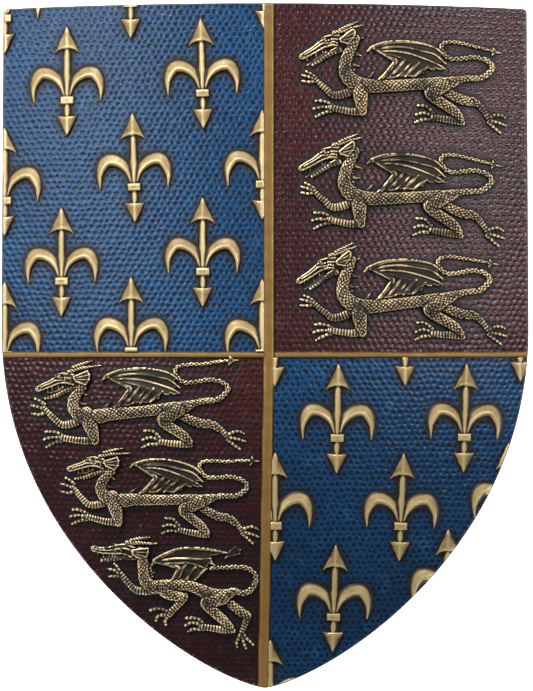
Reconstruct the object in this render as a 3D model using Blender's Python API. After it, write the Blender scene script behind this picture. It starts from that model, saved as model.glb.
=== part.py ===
"""Heraldic shield, cast in one piece: a bulging board with four fields, parted by a
cross band, with fleurs-de-lis in two fields and walking dragons in the other two.

It lies on its rim with the face up: +X to the right, +Y to the top edge, +Z out of
the face, with the origin under the middle of its box.
"""

import math

import bmesh
import bpy
import numpy as np
from mathutils import Matrix, Vector
from mathutils.bvhtree import BVHTree

# The board, in metres
WIDTH = 0.355
TOP_WIDTH = 0.3525
HEIGHT = 0.457
SHOULDER = 0.214  # from the top edge down to where the sides start to curve in
CORNER = 0.0028  # the rounding of the two upper corners
BULGE = 0.036  # how far the middle of the face stands above the side edges
EDGE = 0.007  # thickness of the outer edge
WALL = 0.010  # thickness of the hollow board
TIP_SOLID = 0.5  # least share of the half width at which the rim ends, near the tip

# The curve of the lower sides, as the powers of a rounded arch
ARCH_SPREAD = 2.1
ARCH_TAPER = 0.735

# The cross band
BAND_WIDTH = 0.0075
CROSSBAR_WIDTH = 0.0042
BAND_RISE = 0.002
CROSSBAR_SHARE = 0.9  # of the upright's rise
BAND_OFFSET = 0.0026  # of the upright from the middle line
BAND_TIP_OFFSET = -0.0012  # of its lower end
CROSSBAR_DROP = 0.2327  # from the top edge to the middle of the crossbar

# The figures in relief
FLEUR_HEIGHT = 0.0735
FLEUR_RISE = 0.0026
DRAGON_LENGTH = 0.1333
WING_RISE = 0.0024
ROOT = 0.003  # how deep the flat shapes are sunk in the board
EDGE_GAP = 0.0004  # how far inside the board's edge the relief ends
LIMB_SINK = 0.0006  # how far a limb's middle lies below the face, so that it has no undercut

# How finely the board is divided
COLUMNS = 8
STRAIGHT_ROWS = 3
ARCH_ROWS = 10

HALF = WIDTH / 2
TOP = HEIGHT / 2

# A fleur-de-lis is drawn 110 units tall, from its upper tip at 0, 0 downwards
FLEUR_UNITS = 110
FLEUR_LEAF = [(2, -69, 4), (11, -54, 10), (26, -47, 13), (36, -60, 8), (34, -74, 3)]
FLEUR_SPEAR = [
    (0, 0), (13.5, -27), (4, -22), (4, -92), (10.7, -90), (0, -110), (-10.7, -90), (-4, -92), (-4, -22),
    (-13.5, -27),
]
FLEUR_COLLAR = [(-7, -70.5), (7, -70.5), (7, -78.5), (-7, -78.5)]
SPEAR_SHARE = 0.75  # of the relief that the collar has

# Each fleur-de-lis: its upper tip as a share of the half width and of the height, and
# its lean in degrees. Those past an edge or the band are cut off there.
UPPER_FLEURS = [
    (-0.744, 0.032, 0.0), (-0.240, 0.022, 1.5), (-0.496, 0.157, 1.5), (-0.765, 0.293, 0.0),
    (-0.232, 0.280, 0.0), (-0.500, 0.395, 0.0), (-0.985, 0.174, 0.0), (-0.985, 0.401, 0.0),
    (-0.010, 0.154, 0.0), (-0.010, 0.398, 0.0), (-0.502, -0.110, 0.0), (-0.985, -0.094, 0.0),
    (0.000, -0.120, 0.0),
]
LOWER_FLEURS = [
    (0.274, 0.521, -1.0), (0.758, 0.521, -1.5), (0.520, 0.651, -2.0), (0.038, 0.649, 0.0),
    (0.266, 0.785, -1.5), (0.020, 0.926, 0.0), (0.524, 0.394, 0.0), (0.036, 0.395, 0.0),
    (0.965, 0.388, 0.0), (0.921, 0.638, 0.0), (0.692, 0.764, 0.0),
]

# A dragon is drawn 200 units long, and each stroke is a row of points with a width
DRAGON_UNITS = 200
WALKING = {
    "spine": [
        (-59, 39, 12), (-53, 6, 16), (-40, -8, 17), (5, -5, 14), (43, -4, 18), (58, 1, 9),
        (82, 5, 7), (93, 15, 6.5), (84, 23, 6.5), (51, 22, 6), (43, 29, 5.5), (47, 38, 5), (72, 36, 4.5),
        (98, 29, 3),
    ],
    "near foreleg": [(-41, -6, 15), (-38, -32, 12), (-52, -32, 8.5), (-68, -29, 8)],
    "far foreleg": [(-48, -12, 9), (-66, -17, 9), (-85, 1, 6)],
    "near hind leg": [(42, -6, 17), (32, -13, 14), (54, -29, 11), (62, -39, 8)],
    "near hind foot": [(63, -40, 6), (48, -39, 8), (33, -36, 8)],
    "far hind leg": [(46, -13, 10), (74, -19, 10), (91, -38, 6)],
    "skull": [(-51, 35, 12), (-68, 39, 15), (-80, 33, 10), (-99, 21, 6)],
    "jaw": [(-57, 33, 9), (-89, 12.5, 4)],
    "wing arm": [(-22, 0, 8), (-6, 18, 8), (-26, 31, 7)],
    "toes": [
        [(-65, -27, 6), (-89, -23, 2.5)], [(-66, -29, 6), (-90, -31, 2.5)], [(-65, -31, 6), (-87, -39, 2.5)],
        [(-83, -1, 6), (-98, 9, 2.5)], [(-83, -2, 6), (-103, 0, 2.5)], [(34, -35, 6), (14, -25, 2.5)],
        [(35, -36, 6), (13, -35, 2.5)], [(35, -38, 6), (12, -44, 2.5)], [(89, -36, 6), (108, -35, 2.5)],
        [(89, -38, 6), (109, -44, 2.5)], [(90, -38, 6), (103, -51, 2.5)],
    ],
    "horns": [[(-66, 45, 5), (-39, 53, 3)], [(-60, 48, 5), (-43, 57, 3)]],
    "fingers": [[(-26, 31, 6), (-8, 37, 5), (22, 36, 4), (43, 26, 3)], [(-18, 27, 5), (44, 18, 3)]],
    "wing": [
        (-26, 32), (-10, 38), (22, 37), (43, 27), (41, 22), (46, 16), (27, 12), (15, -2), (-14, -2), (-6, 18),
    ],
    "ear": [(-62, 41), (-46.5, 50.5), (-43, 44), (-53, 32)],
    "tail tip": [(92, 24), (93, 37), (106, 29)],
}
COILED = {
    "spine": [
        (-42, 36, 11), (-37, 10, 14), (-24, 1, 16), (8, 3, 13), (39, -7, 18), (52, -2, 9),
        (62, -3, 7.5), (73, 4, 7), (73, 16, 6.5), (62, 22, 6), (30, 21, 5),
    ],
    "near foreleg": [(-18, 1, 15), (-9, -6, 13), (4, -8, 10), (-3, -16, 8), (-12, -26, 8)],
    "far foreleg": [(-30, -1, 9), (-47, -1, 9), (-62, 16, 6)],
    "near hind leg": [(38, -9, 17), (25, -14, 14), (40, -29, 11), (50, -39, 8)],
    "near hind foot": [(51, -41, 6), (36, -40, 8), (21, -37, 8)],
    "far hind leg": [(44, -14, 10), (65, -25, 10), (60, -47, 6)],
    "skull": [(-38, 35, 10), (-58, 40, 14), (-72, 40, 10), (-91, 40, 6)],
    "jaw": [(-45, 34, 9), (-81, 28, 4)],
    "wing arm": [(-8, 8, 8), (-3, 21, 8), (-26, 27, 7)],
    "toes": [
        [(-13, -24, 6), (-32, -24, 2.5)], [(-13, -26, 6), (-26, -35, 2.5)], [(-12, -27, 6), (-14, -40, 2.5)],
        [(-61, 15, 6), (-70, 26, 2.5)], [(-61, 14, 6), (-77, 17, 2.5)], [(21, -36, 6), (1, -29, 2.5)],
        [(22, -37, 6), (2, -39, 2.5)], [(23, -39, 6), (6, -45, 2.5)], [(60, -45, 6), (55, -63, 2.5)],
        [(61, -46, 6), (66, -64, 2.5)], [(61, -45, 6), (75, -58, 2.5)],
    ],
    "horns": [[(-54, 46, 6), (-24, 46, 3)], [(-50, 48, 5), (-31, 53, 3)]],
    "fingers": [[(-26, 27, 6), (-5, 40, 5), (27, 41, 4), (46, 36, 3)], [(-16, 25, 5), (33, 24, 3)]],
    "wing": [
        (-26, 29), (-5, 41), (27, 42), (46, 37), (31, 31), (34, 24), (15, 9), (12, 2), (-8, 2), (-3, 21),
    ],
    "ear": [(-50, 40), (-31, 42), (-32, 33), (-40, 28)],
    "tail tip": [(44, 33), (52, 44), (60, 39), (54, 33)],
}

ROUND_LIMBS = ("spine", "skull")
LEAN_LIMBS = (
    "near foreleg", "far foreleg", "near hind leg", "near hind foot", "far hind leg", "jaw", "wing arm",
)

# Each dragon: its pose, the share of the half width and of the height where it stands,
# its lean in degrees and its size beside the largest
DRAGONS = [
    (WALKING, 0.505, 0.110, 0.0, 1.0), (WALKING, 0.501, 0.2735, -0.9, 1.0),
    (WALKING, 0.498, 0.427, 2.9, 1.0), (WALKING, -0.484, 0.584, 2.2, 0.99),
    (WALKING, -0.381, 0.7127, -3.3, 0.93), (COILED, -0.316, 0.852, 0.0, 1.0),
]

BLUE = (0.013, 0.095, 0.30, 1)


def clear_scene():
    """Empties the scene."""
    for obj in list(bpy.data.objects):
        bpy.data.objects.remove(obj)


def half_width(drop):
    """Half the board's width at a distance below the top edge."""
    if drop < CORNER:
        inset = CORNER - math.sqrt(max(0, CORNER**2 - (CORNER - drop) ** 2))
        return TOP_WIDTH / 2 - inset
    if drop <= SHOULDER:
        return TOP_WIDTH / 2 + (HALF - TOP_WIDTH / 2) * (drop - CORNER) / (SHOULDER - CORNER)
    share = min(1, (drop - SHOULDER) / (HEIGHT - SHOULDER))
    return HALF * (1 - share**ARCH_SPREAD) ** ARCH_TAPER


def face_height(x, y):
    """Height of the bulging face, carried on a little past the edge."""
    edge = half_width(min(HEIGHT, max(CORNER, TOP - y)))
    return EDGE + BULGE * (edge**2 - x**2) / HALF**2


def ground_height(ground, x, y):
    """Height of the board's own faces, and of the bulge that they follow beside the board."""
    spot = ground.ray_cast(Vector((x, y, HEIGHT)), Vector((0, 0, -1)))[0]
    return spot.z if spot else face_height(x, y)


def on_board(place_x, place_y, lean, scale):
    """The frame of a figure: its place as shares of the board, its lean and its scale."""
    spot = Vector((place_x * HALF, TOP - place_y * HEIGHT, 0))
    return Matrix.Translation(spot) @ Matrix.Rotation(math.radians(lean), 4, "Z") @ Matrix.Scale(scale, 4)


def row_drops():
    """Distances below the top edge of the board's rows, closer together towards the tip."""
    drops = [0, CORNER * 0.3, CORNER]
    drops += [CORNER + (SHOULDER - CORNER) * (i + 1) / STRAIGHT_ROWS for i in range(STRAIGHT_ROWS)]
    for i in range(ARCH_ROWS):
        turn = math.radians(90) * (i + 1) / ARCH_ROWS
        drops.append(SHOULDER + (HEIGHT - SHOULDER) * math.sin(turn))
    return drops


def new_object(name, mesh, collection):
    """A mesh object in a collection."""
    obj = bpy.data.objects.new(name, mesh)
    collection.objects.link(obj)
    return obj


def as_helper(obj):
    """Marks a body that is only joined to the board or cuts it."""
    obj.hide_render = True
    obj.display_type = "WIRE"
    return obj


def solid_from_curve(curve_object, collection):
    """The closed mesh of a curve, in the curve's place, and the curve removed."""
    bpy.context.view_layer.update()
    graph = bpy.context.evaluated_depsgraph_get()
    mesh = bpy.data.meshes.new_from_object(curve_object.evaluated_get(graph))
    body = bmesh.new()
    body.from_mesh(mesh)
    bmesh.ops.remove_doubles(body, verts=body.verts, dist=1e-6)
    bmesh.ops.recalc_face_normals(body, faces=body.faces)
    bmesh.ops.triangulate(body, faces=body.faces)
    body.to_mesh(mesh)
    body.free()
    solid = new_object(curve_object.name, mesh, collection)
    solid.matrix_world = curve_object.matrix_world
    bpy.data.objects.remove(curve_object)
    return solid


def tube(stroke, frame, round_steps, ground, collection):
    """A half-sunk tapering limb through a stroke's points."""
    curve = bpy.data.curves.new("limb", "CURVE")
    curve.dimensions = "3D"
    curve.bevel_depth = 1
    curve.bevel_resolution = round_steps
    curve.use_fill_caps = True
    scale = frame.to_scale().x
    spline = curve.splines.new("POLY")
    spline.points.add(len(stroke) - 1)
    for point, (x, y, width) in zip(spline.points, stroke):
        spot = frame @ Vector((x, y, 0))
        point.co = (spot.x, spot.y, ground_height(ground, spot.x, spot.y) - LIMB_SINK, 1)
        point.radius = width / 2 * scale
    return solid_from_curve(new_object("limb", curve, collection), collection)


def plate(outline, frame, rise, ground, collection):
    """A flat shape laid on the face: its top stands above it and its root is sunk."""
    curve = bpy.data.curves.new("plate", "CURVE")
    curve.dimensions = "2D"
    curve.fill_mode = "BOTH"
    curve.extrude = (rise + ROOT) / 2
    spline = curve.splines.new("POLY")
    spline.points.add(len(outline) - 1)
    spline.use_cyclic_u = True
    for point, (x, y) in zip(spline.points, outline):
        spot = frame @ Vector((x, y, 0))
        point.co = (spot.x, spot.y, 0, 1)
    solid = solid_from_curve(new_object("plate", curve, collection), collection)
    for vertex in solid.data.vertices:
        vertex.co.z += ground_height(ground, vertex.co.x, vertex.co.y) + (rise - ROOT) / 2
    return solid


def with_boolean(target, operation, tool):
    """Gives a body a Boolean with another body or with a collection of them."""
    modifier = target.modifiers.new(operation.lower(), "BOOLEAN")
    modifier.operation = operation
    modifier.solver = "EXACT"
    if isinstance(tool, bpy.types.Collection):
        modifier.operand_type = "COLLECTION"
        modifier.collection = tool
    else:
        modifier.object = tool


def settle(target, tools):
    """Turns a body with Booleans into a plain mesh and removes the bodies it used."""
    bpy.context.view_layer.update()
    graph = bpy.context.evaluated_depsgraph_get()
    mesh = bpy.data.meshes.new_from_object(target.evaluated_get(graph))
    target.modifiers.clear()
    target.data = mesh
    for tool in tools:
        bpy.data.objects.remove(tool)


def cut_to(target, block):
    """Keeps what of a body lies inside a block."""
    with_boolean(target, "INTERSECT", block)
    settle(target, [])


def rim_inside(drop):
    """How far from the middle the hollow of the back starts: where the face is a wall high."""
    edge = half_width(drop)
    return math.sqrt(max((edge * TIP_SOLID) ** 2, edge**2 - HALF**2 * (WALL - EDGE) / BULGE))


def build_board(collection):
    """The hollow board: a grid drawn in to the outline, bulged, and given its wall."""
    drops = row_drops()
    body = bmesh.new()
    bmesh.ops.create_grid(body, x_segments=COLUMNS + 2, y_segments=len(drops) - 1, size=1)
    rows = sorted({round(vertex.co.y, 5) for vertex in body.verts}, reverse=True)
    columns = sorted({round(vertex.co.x, 5) for vertex in body.verts})
    for vertex in body.verts:
        drop = drops[rows.index(round(vertex.co.y, 5))]
        step = columns.index(round(vertex.co.x, 5)) - 1
        if 0 <= step <= COLUMNS:
            vertex.co.x = rim_inside(drop) * (step / COLUMNS * 2 - 1)
        else:
            vertex.co.x = math.copysign(half_width(drop), vertex.co.x)
        vertex.co.y = TOP - drop
        vertex.co.z = face_height(vertex.co.x, vertex.co.y)
    front = list(body.faces)
    copied = bmesh.ops.duplicate(body, geom=list(body.verts) + list(body.edges) + front)
    back = [item for item in copied["geom"] if isinstance(item, bmesh.types.BMFace)]
    for vertex in {vertex for face in back for vertex in face.verts}:
        vertex.co.z = max(0, vertex.co.z - WALL)
    bmesh.ops.reverse_faces(body, faces=back)
    open_edges = [edge for edge in body.edges if edge.is_boundary]
    bmesh.ops.bridge_loops(body, edges=open_edges)
    bmesh.ops.remove_doubles(body, verts=body.verts, dist=1e-6)
    bmesh.ops.recalc_face_normals(body, faces=body.faces)
    bmesh.ops.triangulate(body, faces=body.faces)
    mesh = bpy.data.meshes.new("heraldic_shield")
    body.to_mesh(mesh)
    body.free()
    return new_object("heraldic_shield", mesh, collection)


def board_edge(drop):
    """Half the width of the board between its rows, where its edge runs straight."""
    drops = row_drops()
    return float(np.interp(drop, drops, [half_width(row) for row in drops]))


def outline_between(left, right, upper, lower):
    """The part of the board's outline between two uprights and two levels, anticlockwise."""
    upper, lower = max(upper, EDGE_GAP), min(lower, HEIGHT - EDGE_GAP)
    drops = [upper] + [drop for drop in row_drops() if upper < drop < lower] + [lower]
    down = [(max(left, EDGE_GAP - board_edge(drop)), TOP - drop) for drop in drops]
    up = [(min(right, board_edge(drop) - EDGE_GAP), TOP - drop) for drop in reversed(drops)]
    return [point for point in down + up if left <= point[0] <= right]


def inside(block, point):
    """Whether a point lies within the closest side of a block."""
    found, spot, normal, _ = block.closest_point_on_mesh(point)
    return found and (spot - point).dot(normal) > 0


def build_field(left, right, upper, lower, ground, collection):
    """A tall block over one field, which cuts its figures off at the edges."""
    flat = Matrix.Identity(4)
    field = plate(outline_between(left, right, upper, lower), flat, HEIGHT, ground, collection)
    for vertex in field.data.vertices:
        vertex.co.z = HEIGHT if vertex.co.z > HEIGHT / 2 else -HEIGHT
    return as_helper(field)


def band_middle(drop):
    """Where the upright of the cross lies: straight, then drawn to one side at the tip."""
    if drop < CROSSBAR_DROP:
        return BAND_OFFSET
    share = (drop - CROSSBAR_DROP) / (HEIGHT - CROSSBAR_DROP)
    return BAND_OFFSET + (BAND_TIP_OFFSET - BAND_OFFSET) * share


def build_band(outline, ground, collection):
    """The cross band, laid on the face and cut off at the outline."""
    flat = Matrix.Identity(4)
    drops = [-CORNER] + row_drops()[2:] + [HEIGHT + CORNER]
    side = BAND_WIDTH / 2
    upright = [(band_middle(drop) - side, TOP - drop) for drop in drops]
    upright += [(band_middle(drop) + side, TOP - drop) for drop in reversed(drops)]
    steps = [HALF * (i / COLUMNS * 2 - 1) for i in range(COLUMNS + 1)]
    level = TOP - CROSSBAR_DROP
    crossbar = [(x, level - CROSSBAR_WIDTH / 2) for x in steps]
    crossbar += [(x, level + CROSSBAR_WIDTH / 2) for x in reversed(steps)]
    for line, rise in ((upright, BAND_RISE), (crossbar, BAND_RISE * CROSSBAR_SHARE)):
        cut_to(plate(line, flat, rise, ground, collection), outline)


def build_fleur(place, field, ground, collection):
    """One fleur-de-lis, cut off where it passes the edge of its field."""
    place_x, place_y, lean = place
    frame = on_board(place_x, place_y, lean, FLEUR_HEIGHT / FLEUR_UNITS)
    mirrored = [(-x, y, width) for x, y, width in FLEUR_LEAF]
    pieces = [tube(stroke, frame, 0, ground, collection) for stroke in (FLEUR_LEAF, mirrored)]
    pieces.append(plate(FLEUR_SPEAR, frame, FLEUR_RISE * SPEAR_SHARE, ground, collection))
    pieces.append(plate(FLEUR_COLLAR, frame, FLEUR_RISE, ground, collection))
    for piece in pieces:
        if any(not inside(field, vertex.co) for vertex in piece.data.vertices):
            cut_to(piece, field)
        if not piece.data.polygons:
            bpy.data.objects.remove(piece)


def build_dragon(pose, frame, ground, collection):
    """One dragon in relief: round limbs, a flat wing, ear and tail tip."""
    for limb in ROUND_LIMBS:
        tube(pose[limb], frame, 1, ground, collection)
    for stroke in [pose[limb] for limb in LEAN_LIMBS] + pose["toes"] + pose["horns"] + pose["fingers"]:
        tube(stroke, frame, 0, ground, collection)
    for flat in ("wing", "ear", "tail tip"):
        plate(pose[flat], frame, WING_RISE, ground, collection)


def paint(obj, name, colour, roughness):
    """Gives the board its painted finish."""
    material = bpy.data.materials.new(name)
    material.use_nodes = True
    shader = material.node_tree.nodes["Principled BSDF"]
    shader.inputs["Base Color"].default_value = colour
    shader.inputs["Roughness"].default_value = roughness
    shader.inputs["Metallic"].default_value = 0.0
    obj.data.materials.clear()
    obj.data.materials.append(material)


def main():
    """Builds the shield."""
    clear_scene()
    parts = bpy.data.collections.new("heraldic shield")
    helpers = bpy.data.collections.new("helpers")
    for collection in (parts, helpers):
        bpy.context.scene.collection.children.link(collection)

    board = build_board(parts)
    relief = bpy.data.collections.new("relief")
    helpers.children.link(relief)
    ground = BVHTree.FromObject(board, bpy.context.evaluated_depsgraph_get())

    outline = build_field(-WIDTH, WIDTH, 0, HEIGHT, ground, helpers)
    build_band(outline, ground, relief)
    upper_field = build_field(-WIDTH, BAND_OFFSET, 0, CROSSBAR_DROP, ground, helpers)
    for place in UPPER_FLEURS:
        build_fleur(place, upper_field, ground, relief)
    lower_field = build_field(BAND_TIP_OFFSET, WIDTH, CROSSBAR_DROP, HEIGHT, ground, helpers)
    for place in LOWER_FLEURS:
        build_fleur(place, lower_field, ground, relief)
    for pose, place_x, place_y, lean, size in DRAGONS:
        frame = on_board(place_x, place_y, lean, size * DRAGON_LENGTH / DRAGON_UNITS)
        build_dragon(pose, frame, ground, relief)
    for figure in relief.objects:
        as_helper(figure)
    with_boolean(board, "UNION", relief)
    paint(board, "painted resin", BLUE, 0.45)


main()
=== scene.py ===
"""Heraldic shield in painted cast resin: its relief, its paint and the light on it.

The board, the four hammered fields, the cross band, the fleurs-de-lis and the dragons
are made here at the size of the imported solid, and lie face up on a pale floor.
"""

import logging
import math
from dataclasses import dataclass, field, replace
from enum import Enum

import bmesh
import bpy
import numpy as np
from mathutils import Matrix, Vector


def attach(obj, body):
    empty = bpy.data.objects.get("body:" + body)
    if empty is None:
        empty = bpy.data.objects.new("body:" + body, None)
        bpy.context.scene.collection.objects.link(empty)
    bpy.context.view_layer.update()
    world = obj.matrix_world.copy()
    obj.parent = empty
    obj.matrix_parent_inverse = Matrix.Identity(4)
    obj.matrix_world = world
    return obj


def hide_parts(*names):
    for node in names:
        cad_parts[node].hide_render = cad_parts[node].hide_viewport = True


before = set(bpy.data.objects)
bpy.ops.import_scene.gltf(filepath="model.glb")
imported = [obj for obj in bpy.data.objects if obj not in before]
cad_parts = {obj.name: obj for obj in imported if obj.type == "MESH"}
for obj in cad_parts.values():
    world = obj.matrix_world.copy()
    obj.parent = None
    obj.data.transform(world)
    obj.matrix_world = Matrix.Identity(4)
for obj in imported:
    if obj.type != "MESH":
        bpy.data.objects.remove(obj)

LOG = logging.getLogger("shield")
NODE = "heraldic_shield"
MM = 0.001

Point = tuple[float, float]
Stop = tuple[float, float, float]
Colour = tuple[float, float, float]


# The form that every piece lies on


@dataclass(frozen=True)
class Board:
    """The board's outline and bulge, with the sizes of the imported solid."""

    width: float = 0.355
    top_width: float = 0.3525
    height: float = 0.457
    shoulder: float = 0.214
    corner: float = 0.0028
    bulge: float = 0.036
    edge: float = 0.007
    wall: float = 0.010
    arch_spread: float = 2.1
    arch_taper: float = 0.735
    tallest: float = 0.0458  # the highest place of the whole shield

    @property
    def half(self) -> float:
        """Half the width."""
        return self.width / 2

    @property
    def top(self) -> float:
        """Where the top edge lies along Y."""
        return self.height / 2

    def half_width(self, drop: np.ndarray) -> np.ndarray:
        """Half the board's width below the top edge.

        Args:
            drop: distances below the top edge.

        Returns:
            The half widths there.
        """
        drop = np.clip(np.asarray(drop, float), 0, self.height)
        inset = self.corner - np.sqrt(np.clip(self.corner**2 - (self.corner - drop) ** 2, 0, None))
        along = np.clip((drop - self.corner) / (self.shoulder - self.corner), 0, 1)
        straight = self.top_width / 2 + (self.half - self.top_width / 2) * along
        share = np.clip((drop - self.shoulder) / (self.height - self.shoulder), 0, 1)
        arched = self.half * (1 - share**self.arch_spread) ** self.arch_taper
        return np.where(drop < self.corner, self.top_width / 2 - inset, np.where(share > 0, arched, straight))

    def face(self, x: np.ndarray, y: np.ndarray) -> np.ndarray:
        """Height of the smooth face.

        Args:
            x: places across the board.
            y: places along it.

        Returns:
            The heights, carried on past the edge.
        """
        edge = self.half_width(np.clip(self.top - y, self.corner, self.height))
        return self.edge + self.bulge * (edge**2 - np.asarray(x) ** 2) / self.half**2

    def outline(self, step: float) -> np.ndarray:
        """The outline as points in turn, anticlockwise from the upper left corner.

        Args:
            step: the distance between points.

        Returns:
            An array of points, one row each.
        """
        turn = np.linspace(0, math.pi / 2, 240)
        rounded = self.corner * (1 - np.cos(np.linspace(0, math.pi / 2, 12)))
        lower = self.shoulder + (self.height - self.shoulder) * np.sin(turn)
        drops = np.concatenate([rounded, np.linspace(self.corner, self.shoulder, 60)[1:], lower[1:]])
        side = np.stack([-self.half_width(drops), self.top - drops], axis=1)
        loop = np.concatenate([side, (side * [-1, 1])[::-1][1:]])
        return resampled(np.concatenate([loop, loop[:1]]), step)[:-1]


def resampled(line: np.ndarray, step: float) -> np.ndarray:
    """A line's points set evenly along it.

    Args:
        line: points in turn.
        step: about how far apart the new points are.

    Returns:
        The new points, with both ends kept.
    """
    gaps = np.linalg.norm(np.diff(line, axis=0), axis=1)
    run = np.concatenate([[0], np.cumsum(gaps)])
    count = max(2, int(round(run[-1] / step)) + 1)
    at = np.linspace(0, run[-1], count)
    return np.stack([np.interp(at, run, line[:, i]) for i in range(line.shape[1])], axis=1)


BOARD = Board()


# Shader and node-tree building


class Signal:
    """A number that varies over a surface: the output of a node."""

    def __init__(self, paint: "Nodes", socket: bpy.types.NodeSocket) -> None:
        """Holds the output and the tree it belongs to."""
        self.paint = paint
        self.socket = socket

    def _math(self, operation: str, first: object, second: object) -> "Signal":
        """Adds one Math node."""
        return self.paint.add("ShaderNodeMath", {"operation": operation}, {0: first, 1: second})

    def __add__(self, other: object) -> "Signal":
        """Adds."""
        return self._math("ADD", self, other)

    def __radd__(self, other: object) -> "Signal":
        """Adds to a number."""
        return self._math("ADD", other, self)

    def __sub__(self, other: object) -> "Signal":
        """Subtracts."""
        return self._math("SUBTRACT", self, other)

    def __rsub__(self, other: object) -> "Signal":
        """Subtracts from a number."""
        return self._math("SUBTRACT", other, self)

    def __mul__(self, other: object) -> "Signal":
        """Multiplies."""
        return self._math("MULTIPLY", self, other)

    def __rmul__(self, other: object) -> "Signal":
        """Multiplies a number."""
        return self._math("MULTIPLY", other, self)

    def __truediv__(self, other: object) -> "Signal":
        """Divides."""
        return self._math("DIVIDE", self, other)

    def __pow__(self, other: object) -> "Signal":
        """Raises to a power."""
        return self._math("POWER", self, other)

    def clamped(self) -> "Signal":
        """Kept between 0 and 1."""
        return self.paint.add("ShaderNodeClamp", {}, {0: self})

    def ramp(self, low: float, high: float) -> "Signal":
        """Rises smoothly from 0 at one value to 1 at another.

        Args:
            low: the value that gives 0.
            high: the value that gives 1.

        Returns:
            The new number.
        """
        settings = {"interpolation_type": "SMOOTHSTEP"}
        return self.paint.add("ShaderNodeMapRange", settings, {0: self, 1: low, 2: high, 3: 0.0, 4: 1.0})


class Nodes:
    """A material's nodes, added one call at a time."""

    def __init__(self, name: str) -> None:
        """Makes the material with its Principled shader."""
        self.material = bpy.data.materials.new(name)
        self.material.use_nodes = True
        self.tree = self.material.node_tree
        self.shader = self.tree.nodes["Principled BSDF"]

    def add(self, kind: str, settings: dict, inputs: dict, output: object = 0) -> Signal:
        """Adds a node.

        Args:
            kind: the node's type.
            settings: its properties, set first.
            inputs: values or signals for its sockets, by name or number.
            output: which output is wanted.

        Returns:
            The output as a signal.
        """
        node = self.tree.nodes.new(kind)
        for name, value in settings.items():
            setattr(node, name, value)
        for key, value in inputs.items():
            if isinstance(value, Signal):
                self.tree.links.new(value.socket, node.inputs[key])
            else:
                node.inputs[key].default_value = value
        return Signal(self, node.outputs[output])

    def attribute(self, name: str) -> Signal:
        """A number stored on the mesh's points."""
        return self.add("ShaderNodeAttribute", {"attribute_name": name}, {}, "Fac")

    def place(self) -> Signal:
        """The surface's own coordinates in metres."""
        return self.add("ShaderNodeTexCoord", {}, {}, "Object")

    def noise(self, scale: float, detail: float = 3.0, roughness: float = 0.55) -> Signal:
        """Cloudy noise.

        Args:
            scale: cycles in a metre.
            detail: how many finer layers it has.
            roughness: how strong they are.

        Returns:
            A number about one half.
        """
        inputs = {"Vector": self.place(), "Scale": scale, "Detail": detail, "Roughness": roughness}
        return self.add("ShaderNodeTexNoise", {}, inputs, "Fac")

    def axis(self, letter: str) -> Signal:
        """One of the surface's own coordinates."""
        return self.add("ShaderNodeSeparateXYZ", {}, {0: self.place()}, letter)

    def mix(self, amount: object, first: object, second: object) -> Signal:
        """Blends two colours.

        Args:
            amount: 0 for the first, 1 for the second.
            first: a colour or a signal.
            second: a colour or a signal.

        Returns:
            The blended colour.
        """
        shown = [(*item, 1.0) if isinstance(item, tuple) else item for item in (first, second)]
        settings = {"data_type": "RGBA", "clamp_factor": True}
        return self.add("ShaderNodeMix", settings, {0: amount, 6: shown[0], 7: shown[1]}, 2)

    def bump(self, height: Signal, distance: float, strength: float = 1.0) -> Signal:
        """Turns a height into a surface normal."""
        inputs = {"Strength": strength, "Distance": distance, "Height": height}
        return self.add("ShaderNodeBump", {}, inputs, "Normal")

    def finish(self, **sockets: object) -> bpy.types.Material:
        """Sets the shader's sockets.

        Args:
            sockets: values or signals by socket name, with _ for a space.

        Returns:
            The material.
        """
        for name, value in sockets.items():
            socket = self.shader.inputs[name.replace("_", " ")]
            if isinstance(value, Signal):
                self.tree.links.new(value.socket, socket)
            else:
                socket.default_value = (*value, 1.0) if isinstance(value, tuple) else value
        return self.material


# Finishes


@dataclass(frozen=True)
class FieldPaint:
    """Paint over a hammered ground, darker in the pits, with painted shade round the figures and towards the bottom.
    """

    name: str
    colour: Colour
    # darker colour: tone that differs at random, and painted shade towards the bottom
    dark_tone_and_shade: Colour
    worn: Colour
    # darker colour put into the pits, and used as painted shade round the figures
    wash: Colour = (0.006, 0.007, 0.010)
    roughness: float = 0.31
    gloss: float = 0.4  # coat weight on the darker paint in the pits

    def material(self) -> bpy.types.Material:
        """Builds the finish.

        Returns:
            The material.
        """
        paint = Nodes(self.name)
        cloud = paint.noise(14.0, 4.0).ramp(0.35, 0.68)
        fine = paint.noise(420.0, 3.0)
        streak = paint.noise(90.0, 4.0, 0.65)
        # painted shade: the ground turns to the darker colour towards the bottom, mixed with cloudy tone that differs
        # at random
        low = (0.0 - paint.axis("Y")).ramp(-0.05, 0.22)
        base = paint.mix((low * 0.65 + cloud * 0.35).clamped(), self.colour, self.dark_tone_and_shade)
        rub = (streak.ramp(0.52, 0.72) * 0.35 + fine.ramp(0.55, 0.75) * 0.15) * (1.0 - paint.attribute("pit"))
        base = paint.mix(rub.clamped(), base, self.worn)
        pit = paint.attribute("pit").ramp(0.0, 0.24) * (0.8 + streak * 0.35)
        # painted shade: the ground darkens where it lies near a figure
        figure_shade = paint.attribute("wash") * (0.55 + streak * 0.9)
        dark = (pit * 0.95 + figure_shade + (fine - 0.5) * 0.15).clamped()
        colour = paint.mix(dark, base, self.wash)
        rough = self.roughness + figure_shade * 0.2 + (streak - 0.5) * 0.16
        normal = paint.bump(fine, 0.00012, 0.5)
        return paint.finish(
            Base_Color=colour, Roughness=rough, Normal=normal, Specular_IOR_Level=0.28, Coat_Roughness=0.18,
            Coat_Weight=(pit - figure_shade * 1.5).clamped() * self.gloss,
        )


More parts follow.
